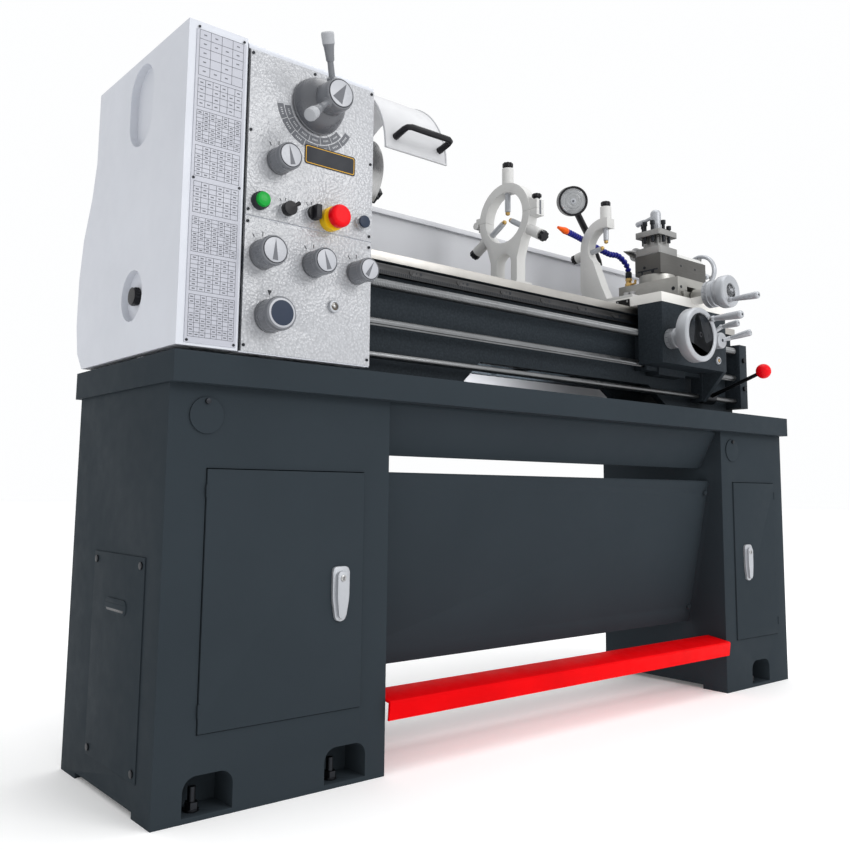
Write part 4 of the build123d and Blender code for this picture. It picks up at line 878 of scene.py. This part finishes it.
def build_handwheels():
    wheel = Piece("apron_handwheel_turned", "apron_handwheel", "bright_steel")
    x, z = WHEEL_X, WHEEL_Z
    wheel.lathe((x, -190.6, z), (0, -1, 0), [(0, 24), (2, 25), (24, 25), (25, 24), (26, 24), (27, 25),
            (40, 25), (42, 23.5),
                                             (44, 23.5), (45, 24.6), (52, 24.6), (54, 22)], SATIN, 72)
    wheel.lathe((x, -250, z), (0, -1, 0), [(0, 26), (0, 61), (1.5, 64.5), (4, 66), (27, 66), (30, 64.8),
            (32, 62.5), (32, 55),
                                           (31, 53), (28.5, 52.2)], SATIN, 112)
    wheel.lathe((x, -252, z), (0, -1, 0), [(26.5, 52.6), (24, 52.2), (9, 51.5), (6, 48), (5, 30), (8, 18),
            (20, 16.5), (23, 15),
                                           (23, 5)], BORE, 96)
    wheel.screw((x, -273, z), (0, -1, 0), 6.5)
    for k in range(3):
        a = radians(15 + 120 * k)
        wheel.tube([(x + 14 * cos(a), -262, z + 14 * sin(a)), (x + 50 * cos(a), -262, z + 50 * sin(a))],
                   [5, 4], BORE)
    a = radians(47)
    gx, gz = x + 58 * cos(a), z + 58 * sin(a)
    wheel.lathe((gx, -278, gz), (0, -1, 0), [(0, 6), (8, 6), (9, 5)], TURNED, 24)
    grip(wheel, (gx, -286, gz), (0, -1, 0), 80, 7.5, 10, SATIN)
    graduations(wheel, (x, z), 25, -211, -194, 60)
    wheel.done("apron_handwheel")
    cross = Piece("cross_handwheel_turned", "cross_handwheel", "bright_steel")
    x, z = SLIDE_X, CROSS_Z
    cross.lathe((x, -228, z), (0, -1, 0), [(0, 32), (2, 34), (15, 34), (16, 33), (17, 33), (18, 34), (26, 34),
            (28, 31), (30, 31),
                                           (32, 33.5), (36, 34)], SATIN, 80)
    cross.lathe((x, -262, z), (0, -1, 0), [(0, 30), (1, 34), (4, 38), (8, 40.4), (12, 41), (27, 41),
            (30, 39.8), (32, 37.5),
                                           (32, 22), (31, 20)], SATIN, 96)
    cross.lathe((x, -268, z), (0, -1, 0), [(25, 20.3), (22, 19.6), (4, 19), (2, 12), (9, 10), (10, 8),
            (10, 3)], BORE, 64)
    gx, gz = x - 10, z - 24
    cross.lathe((gx, -288, gz), (0, -1, 0), [(0, 6), (8, 6), (9, 5)], TURNED, 24)
    grip(cross, (gx, -296, gz), (0, -1, 0), 77, 6.5, 9, SATIN)
    graduations(cross, (x, z), 34, -243, -230, 60)
    cross.done("cross_handwheel")
    tail = Piece("tailstock_handwheel_turned", "tailstock_handwheel", "dark_steel")
    rings = []
    for k in range(72):
        a = 2 * pi * k / 72
        ring = []
        for j in range(16):
            b = 2 * pi * j / 16
            r = 48 + 6 * cos(b)
            ring.append(at(829 + 8.5 * sin(b), r * cos(a), AXIS_Z + r * sin(a)))
        rings.append(ring)
    rings.append(rings[0])
    tail.skin(rings, SATIN, False, False)
    bmesh.ops.remove_doubles(tail.bm, verts=tail.bm.verts[:], dist=0.000001)
    tail.lathe((801, 0, AXIS_Z), (1, 0, 0), [(0, 14), (1, 15), (34, 15), (37, 12), (37, 4)], TURNED, 40)
    for k in range(3):
        a = radians(90 + 120 * k)
        c, s = cos(a), sin(a)
        tail.tube([(826, 12 * c, AXIS_Z + 12 * s), (828, 30 * c, AXIS_Z + 30 * s),
                   (829, 46 * c, AXIS_Z + 46 * s)],
                  [6.5, 5, 6], TURNED)
    a = radians(30)
    grip(tail, (836, 48 * cos(a), AXIS_Z + 48 * sin(a)), (1, 0, 0), 64, 5.5, 7, SATIN)
    tail.done("tailstock_handwheel")


def build_hand_lever(name, x, z, hub_r, reach, tip):
    """Round hub with a cranked arm and a tapered grip."""
    piece = Piece(name + "_turned", name, "dark_steel")
    face = APRON_FRONT - 0.6
    piece.lathe((x, face, z), (0, -1, 0), [(0, hub_r - 1), (1, hub_r), (19, hub_r), (21, hub_r - 1.2),
            (22, hub_r - 3), (22, 3)],
                SATIN, 64)
    # flat black disc at the hub centre: painted shade of the centre hole
    piece.lathe((x, face - 21.8, z), (0, -1, 0), [(0, 4), (0.6, 4), (0.8, 3)], BORE, 28)
    knee = Vector((x + reach[0], face - 30, z + reach[1]))
    way = Vector(tip)
    piece.tube([(x, face - 12, z), tuple((Vector((x, face - 12, z)) + knee) / 2), tuple(knee)], [5, 5, 5.6],
               SATIN)
    grip(piece, tuple(knee - way.normalized() * 3), way, way.length + 3, 6.2, 9, SATIN)
    piece.done(name)


def build_apron_fittings():
    """Oil sight glass, cover screws and the way wiper of the carriage."""
    extra = Piece("apron_fittings", "carriage", "dark_steel")
    extra.lathe((607, APRON_FRONT, 843), (0, -1, 0),
                [(0, 10), (3, 10), (4.2, 9.2), (4.6, 8), (4.6, 6.4), (3, 6)], SATIN, 48)
    extra.lathe((607, APRON_FRONT - 2, 843), (0, -1, 0), [(0, 6.2), (1.4, 6.2), (1.6, 5)], OIL_GLASS, 40)
    extra.lathe((607, APRON_FRONT - 3.4, 843), (0, -1, 0), [(0, 3.2), (0.6, 3.2), (0.8, 2.4)], BRASS, 28)
    for y0, y1 in ((-94, -52), (24, 56)):
        extra.block(363.2, 366.2, y0, y1, WAY_TOP + 0.6, WAY_TOP + 20, FELT, 0.6)
        for y in (y0 + 6, y1 - 6):
            extra.lathe((363.3, y, WAY_TOP + 14), (-1, 0, 0), [(0, 2.6), (1, 2.6), (1.4, 1.8)], SCREW_STEEL,
                        20)
    for x, y in ((385, -150), (445, -170), (600, -170), (632, -150), (632, 90)):
        extra.screw((x, y, 992.8), (0, 0, 1), 5, BLACKED, 2.2)
    extra.done()


def build_slide_fittings():
    """Gib strips, lock screws and oil holes of the compound slide and the cross slide."""
    top = Piece("compound_gib", "compound_slide", "dark_steel")
    top.block(467.4, 468.2, -108, -44, 1080, 1084, BORE, 0)
    top.block(467.4, 468.2, -60, -56, 1071.5, 1084, BORE, 0)
    top.screw((467.9, -92, 1077.5), (-1, 0, 0), 4.6, BLACKED, 1.2)
    top.screw((467.9, -66, 1091), (-1, 0, 0), 4, BLACKED, 1.0)
    # oil holes as flat black discs: painted shade in the holes
    for x in (560, 625):
        top.lathe((x, -116.8, 1103), (0, -1, 0), [(0, 3.2), (0.5, 3.2), (0.7, 2.4)], BORE, 24)
    top.done()
    low = Piece("cross_slide_fittings", "cross_slide", "dark_steel")
    low.screw((448.2, -168, 1016), (-1, 0, 0), 5, BLACKED, 1.2)
    low.screw((448.2, -20, 1016), (-1, 0, 0), 5, BLACKED, 1.2)
    for x in (474, 546):
        low.screw((x, -168, 1045.8), (0, 0, 1), 5, BLACKED, 1.5)
    # oil holes as flat black discs: painted shade in the holes
    for x in (462, 558):
        low.lathe((x, -181.8, 1020), (0, -1, 0), [(0, 4), (0.6, 4), (0.8, 3)], BORE, 24)
    low.done()


def build_carriage():
    def saddle_choice(centre, normal, box):
        if centre.z > 992.5 and normal.z > 0.5 or centre.z > 993.5:
            return CROSS_GROUND
        # painted highlight: the saddle sides get the lighter copy of the cast white
        return SADDLE_LIT_WHITE
    refine("saddle", saddle_choice, 1.2)
    refine("apron", lambda c, n, box: None if box[1].x - box[0].x < 40 else CAST_CHARCOAL,
           1.6)
    build_apron_fittings()
    refine("cross_slide", all_of(CROSS_GROUND), 1.0)
    refine("compound_base", all_of(CROSS_GROUND), 1.0)
    refine("compound_slide", all_of(MACHINE_GREY), 1.0)
    refine("compound_handwheel", all_of(SATIN), 0.8)
    build_slide_fittings()
    refine("toolpost", lambda c, n, box: POST_STEEL if box[1].x - box[0].x > 40 else BLACKED,
           0.9)
    refine("toolpost_handle", all_of(SATIN), 0.8)
    build_hand_lever("feed_lever", 560, 905, 15, (18, 20), (8, -46, 6))
    build_hand_lever("half_nut_lever", 596, 893, 21, (18, 6), (16, -54, 12))
    lever = Piece("start_lever_turned", "start_lever", "dark_steel")
    lever.lathe((647.6, ROD_Y, CONTROL_Z), (1, 0, 0), [(0, 16), (1, 17), (54, 17), (56, 15), (56, 7.6)],
                BLACKED, 40)
    lever.tube([(680, ROD_Y - 14, CONTROL_Z + 4), (664, -276, 808)], [5.6, 4.8], BLACKED)
    rings = [(19 - 19 * cos(pi * k / 16), max(19 * sin(pi * k / 16), 0.3)) for k in range(17)]
    lever.lathe((664.4, -268, 805), Vector((-0.085, -0.94, 0.33)), rings, RED_PLASTIC, 40)
    lever.done("start_lever")


# ------------------------------------------------------------------ rests, tailstock, lamp, hose

def radial_point(cx, degrees, distance):
    a = radians(degrees)
    return cx, distance * cos(a), AXIS_Z + distance * sin(a)


def star_knob(piece, origin, way, r, height, lobes, mat):
    """Moulded star knob with a domed top."""
    piece.lathe(origin, way, [(0, r * 0.7), (1, r * 0.78), (2, r * 0.78)], mat, 48)
    top = Vector(origin) + Vector(way).normalized() * 2
    piece.lathe(tuple(top), way, [(0, r * 0.8), (0.6, r * 0.93), (height - 5, r * 0.93),
                                  (height - 3.4, r * 0.86),
                                  (height - 2.6, r * 0.6), (height - 2.2, r * 0.2)], mat, 96, lobes, 0.075)


def finger_piece(piece, cx, degrees, tip, knob):
    """Silver sliding jaw with a ball-ended brass pad and a black star knob."""
    way = (0, cos(radians(degrees)), sin(radians(degrees)))
    rod = knob - tip
    piece.lathe(radial_point(cx, degrees, tip + 8), way, [(0, 5.4), (1, 6.6), (14, 7), (rod - 8, 7)], SATIN,
                32)
    piece.lathe(radial_point(cx, degrees, tip), way,
                [(0, 1.6), (0.8, 3.6), (2.4, 5.1), (4.6, 5.8), (7, 5.4), (8, 4.2), (9, 4.2)],
                BRASS, 32)
    star_knob(piece, radial_point(cx, degrees, knob), way, 13, 14, 8, BLACK_PLASTIC)


def build_rests():
    refine("steady_rest_base", all_of(CAST_WHITE), 1.4)
    refine("steady_rest_cap", lambda c, n, box: None if c.z > 1171.5 and abs(c.y + 95) < 13 else CAST_WHITE,
           1.4)
    swing = Piece("steady_clamp_knob", "steady_rest_cap", "black_plastic")
    swing.lathe((REST_X, -95, 1171), (0, 0, 1), [(0, 4.6), (7, 4.6)], SATIN, 24)
    star_knob(swing, (REST_X, -95, 1176.5), (0, 0, 1), 11.4, 11.4, 8, BLACK_PLASTIC)
    swing.block(REST_X - 3, REST_X + 3, -106.4, -105.6, 1136, 1170, GREY_INK, 0)
    swing.done()
    for name, degrees in (("top", 90), ("rear", -30), ("front", -150)):
        piece = Piece(f"steady_finger_{name}_turned", f"steady_finger_{name}", "bright_steel")
        finger_piece(piece, REST_X, degrees, 8, 126)
        piece.done(f"steady_finger_{name}")

    def follow_choice(centre, normal, box):
        if box[1].z - box[0].z < 12 and box[1].y < -40:
            return SCREW_STEEL
        if box[1].y - box[0].y > 110:
            return CAST_WHITE
        return None
    refine("follow_rest", follow_choice, 1.2)
    fingers = Piece("follow_fingers", "carriage", "bright_steel")
    finger_piece(fingers, FOLLOW_X, 90, 8, 110)
    finger_piece(fingers, FOLLOW_X, -8, 8, 102)
    fingers.done()


def build_tailstock():
    refine("tailstock_body", lambda c, n, box: BLACKED if c.z > 1188 else CAST_WHITE, 1.6)
    refine("tailstock_quill", all_of(TURNED), 0.6)


def build_rear():
    refine("splash_guard", all_of(WHITE), 0.8)
    refine("electrical_cabinet", all_of(WHITE), 2.0)
    refine("main_motor", all_of(MOTOR), 1.0)
    refine("drive_belts", all_of(RUBBER), 0.8)
    refine("input_pulley", all_of(TURNED), 0.8)
    build_lamp()


def build_lamp():
    """Round lamp head on a jointed arm: thick rim, ribbed lens and a rounded back."""
    lamp = Piece("work_lamp_turned", "work_lamp", "black_plastic")
    back, front = Vector((487, 204, 1344)), Vector((468, 178, 1335))
    way = (front - back).normalized()
    length = (front - back).length
    lamp.lathe(tuple(back), way, [(-28, 18), (-26, 22), (-14, 29), (-4, 37), (0, 42), (2, 43),
                                  (length - 1, 43), (length, 42),
                                  (length, 37.5), (length - 3, 36.5)], BLACK_PLASTIC, 72)
    face = back + way * (length - 3.5)
    lamp.lathe(tuple(face), way, [(0, 37), (0.8, 37), (1.6, 34), (1.8, 33.2), (1.2, 32), (1.8, 30.4),
                                  (2.2, 24), (1.6, 23),
                                  (2.2, 22), (2.4, 15), (1.9, 14), (2.3, 13), (2.3, 8)], LAMP_LENS, 72)
    lamp.lathe(tuple(face + way * 1.8), way, [(0, 8.4), (0.9, 8.4), (1.2, 7)], SATIN, 40)
    lamp.lathe(tuple(face + way * 2.8), way, [(0, 3.4), (0.3, 3.4)], GREY_INK, 24)
    lamp.tube([(646, 229, 1128), (646, 229, 1186), (640, 228, 1196), (600, 224.4, 1250)], [8, 8, 9, 9],
              BLACK_PLASTIC)
    lamp.tube([(597, 224, 1255), (552, 214, 1289), (510, 204.4, 1321), (501, 212, 1336)], [10, 10, 9.6, 8],
              BLACK_PLASTIC)
    lamp.lathe((596, 213, 1256), (0, 1, 0), [(0, 9), (1, 11), (21, 11), (22, 9)], BLACK_PLASTIC, 40)
    lamp.screw((596, 213.4, 1256), (0, -1, 0), 4, SCREW_STEEL, 1.2)
    lamp.done("work_lamp")


HOSE = ((618, 100, 1136), (606, 100, 1157), (570, 100, 1175), (527, 98, 1172), (442, 92, 1182),
        (370, 78, 1187), (302, 60, 1186))


def along_hose(t):
    """Smooth curve through the hose points, t from 0 to 1."""
    points = [Vector(p) for p in HOSE]
    span = t * (len(points) - 1)
    k = min(int(span), len(points) - 2)
    u = span - k
    a = points[max(k - 1, 0)]
    b, c = points[k], points[k + 1]
    d = points[min(k + 2, len(points) - 1)]
    return (b * 2 + (c - a) * u + (a * 2 - b * 5 + c * 4 - d) * u * u + (b * 3 - a - c * 3 + d) * u ** 3) / 2


def build_hose():
    """Brass riser and tap, ball-and-socket segments and the nozzle."""
    hose = Piece("coolant_hose_segments", "carriage", "blue_plastic")
    x, y = 618, 100
    hose.lathe((x, y, 993), (0, 0, 1), [(0, 10), (4, 10), (5, 8), (98, 8)], BRASS, 32)
    hose.hexagon((x, y, 1091), (0, 0, 1), 19, 10, BRASS)
    hose.lathe((x, y, 1101), (0, 0, 1), [(0, 8.6), (4, 8.6), (5, 7.4), (8, 7.4)], BRASS, 32)
    hose.hexagon((x, y, 1108), (0, 0, 1), 17, 8, BRASS)
    hose.lathe((x, y, 1116), (0, 0, 1), [(0, 8.8), (1, 9.3), (15, 9.3), (18, 8.4), (19, 7)], BORE, 32)
    hose.tube([(x, y - 6, 1096), (x, y - 25, 1098)], 3, BRASS)
    hose.block(x - 2.5, x + 2.5, y - 26, y - 20, 1096, 1108, BRASS, 1)
    length = [0.0]
    samples = [along_hose(k / 400) for k in range(401)]
    for a, b in zip(samples, samples[1:]):
        length.append(length[-1] + (b - a).length)
    count = 25
    pitch = length[-1] / count
    for k in range(count):
        near = next(j for j, v in enumerate(length) if v >= pitch * k)
        far = next(j for j, v in enumerate(length) if v >= pitch * (k + 1) - 0.001)
        start, way = samples[near], samples[far] - samples[near]
        size = way.length
        hose.lathe(tuple(start), way, [(-1, 4.8), (0, 6.2), (size * 0.18, 8), (size * 0.45, 8.6),
                                       (size * 0.62, 8.2),
                                       (size * 0.72, 5.6), (size, 5.2)], BLUE_PLASTIC, 28)
    end = samples[-1]
    way = (samples[-1] - samples[-6]).normalized()
    hose.lathe(tuple(end), way, [(-2, 6), (0, 8.4), (3, 9), (12, 9), (15, 7.8), (17, 7.4), (19, 8), (21, 7.4),
                                 (46, 4), (49, 3.6),
                                 (49, 2)], ORANGE_PLASTIC, 36)
    hose.done("coolant_hose")


# ------------------------------------------------------------------ stage

def build_stage():
    mesh = bpy.data.meshes.new("floor")
    mesh.from_pydata([(-30, -30, 0), (30, -30, 0), (30, 30, 0), (-30, 30, 0)], [], [(0, 1, 2, 3)])
    floor = bpy.data.objects.new("floor", mesh)
    mesh.materials.append(paint("studio_floor", (0.985, 0.985, 0.985), 0.7, 0.02, 0.0, 0.01, 60, 0.1))
    glow = mesh.materials[0].node_tree.nodes["Principled BSDF"]
    glow.inputs["Emission Color"].default_value = (1, 1, 1, 1)
    glow.inputs["Emission Strength"].default_value = FLOOR_GLOW
    bpy.context.scene.collection.objects.link(floor)


def area_light(name, place, target, size, power):
    data = bpy.data.lights.new(name, "AREA")
    data.shape = "RECTANGLE"
    data.size, data.size_y = size
    data.energy = power
    light = bpy.data.objects.new(name, data)
    light.location = place
    light.rotation_euler = (Vector(target) - Vector(place)).to_track_quat("-Z", "Y").to_euler()
    bpy.context.scene.collection.objects.link(light)


def build_lights():
    area_light("key", (1.2, -4.6, 2.9), (0.0, 0, 0.8), (2.6, 2.0), 80)
    area_light("top", (0.6, -0.4, 4.4), (0, 0, 0.9), (4.0, 2.6), 60)
    area_light("arch", (-0.05, 0.05, 0.748), (-0.05, 0.3, 0.9), (0.5, 0.05), 1.2)
    bpy.context.scene.objects["arch"].visible_camera = False
    world = bpy.data.worlds.new("studio")
    world.use_nodes = True
    tree = world.node_tree
    coord = tree.nodes.new("ShaderNodeTexCoord")
    split = tree.nodes.new("ShaderNodeSeparateXYZ")
    tree.links.new(coord.outputs["Generated"], split.inputs["Vector"])
    level = remap(tree, split.outputs["X"], 0.82, 1.0, -0.9, 0.0)
    backdrop = tree.nodes["Background"]
    backdrop.inputs["Color"].default_value = (0.99, 0.995, 1.0, 1)
    tree.links.new(level, backdrop.inputs["Strength"])
    bpy.context.scene.world = world


def build_camera():
    yaw, pitch, roll = (radians(angle) for angle in CAMERA_TURN)
    ahead = Vector((sin(yaw) * cos(pitch), cos(yaw) * cos(pitch), sin(pitch)))
    level = Vector((cos(yaw), -sin(yaw), 0))
    upright = level.cross(ahead)
    right = level * cos(roll) + upright * sin(roll)
    up = right.cross(ahead)
    data = bpy.data.cameras.new("camera")
    data.sensor_width = 36.0
    data.lens = CAMERA_LENS
    data.shift_x = 0.0017
    data.shift_y = -0.0518
    data.clip_end = 60
    camera = bpy.data.objects.new("camera", data)
    turn = Matrix((right, up, -ahead)).transposed().to_4x4()
    camera.matrix_world = Matrix.Translation(at(*CAMERA_PLACE)) @ turn
    bpy.context.scene.collection.objects.link(camera)
    bpy.context.scene.camera = camera


build_camera()
build_stage()
build_lights()
build_stand()
build_bed()
build_rods()
build_knobs()
build_speed_selector()
build_headstock()
build_end_cover()
build_spindle()
build_handwheels()
build_carriage()
build_rests()
build_tailstock()
build_rear()
build_hose()
bpy.context.scene.view_settings.view_transform = "Standard"
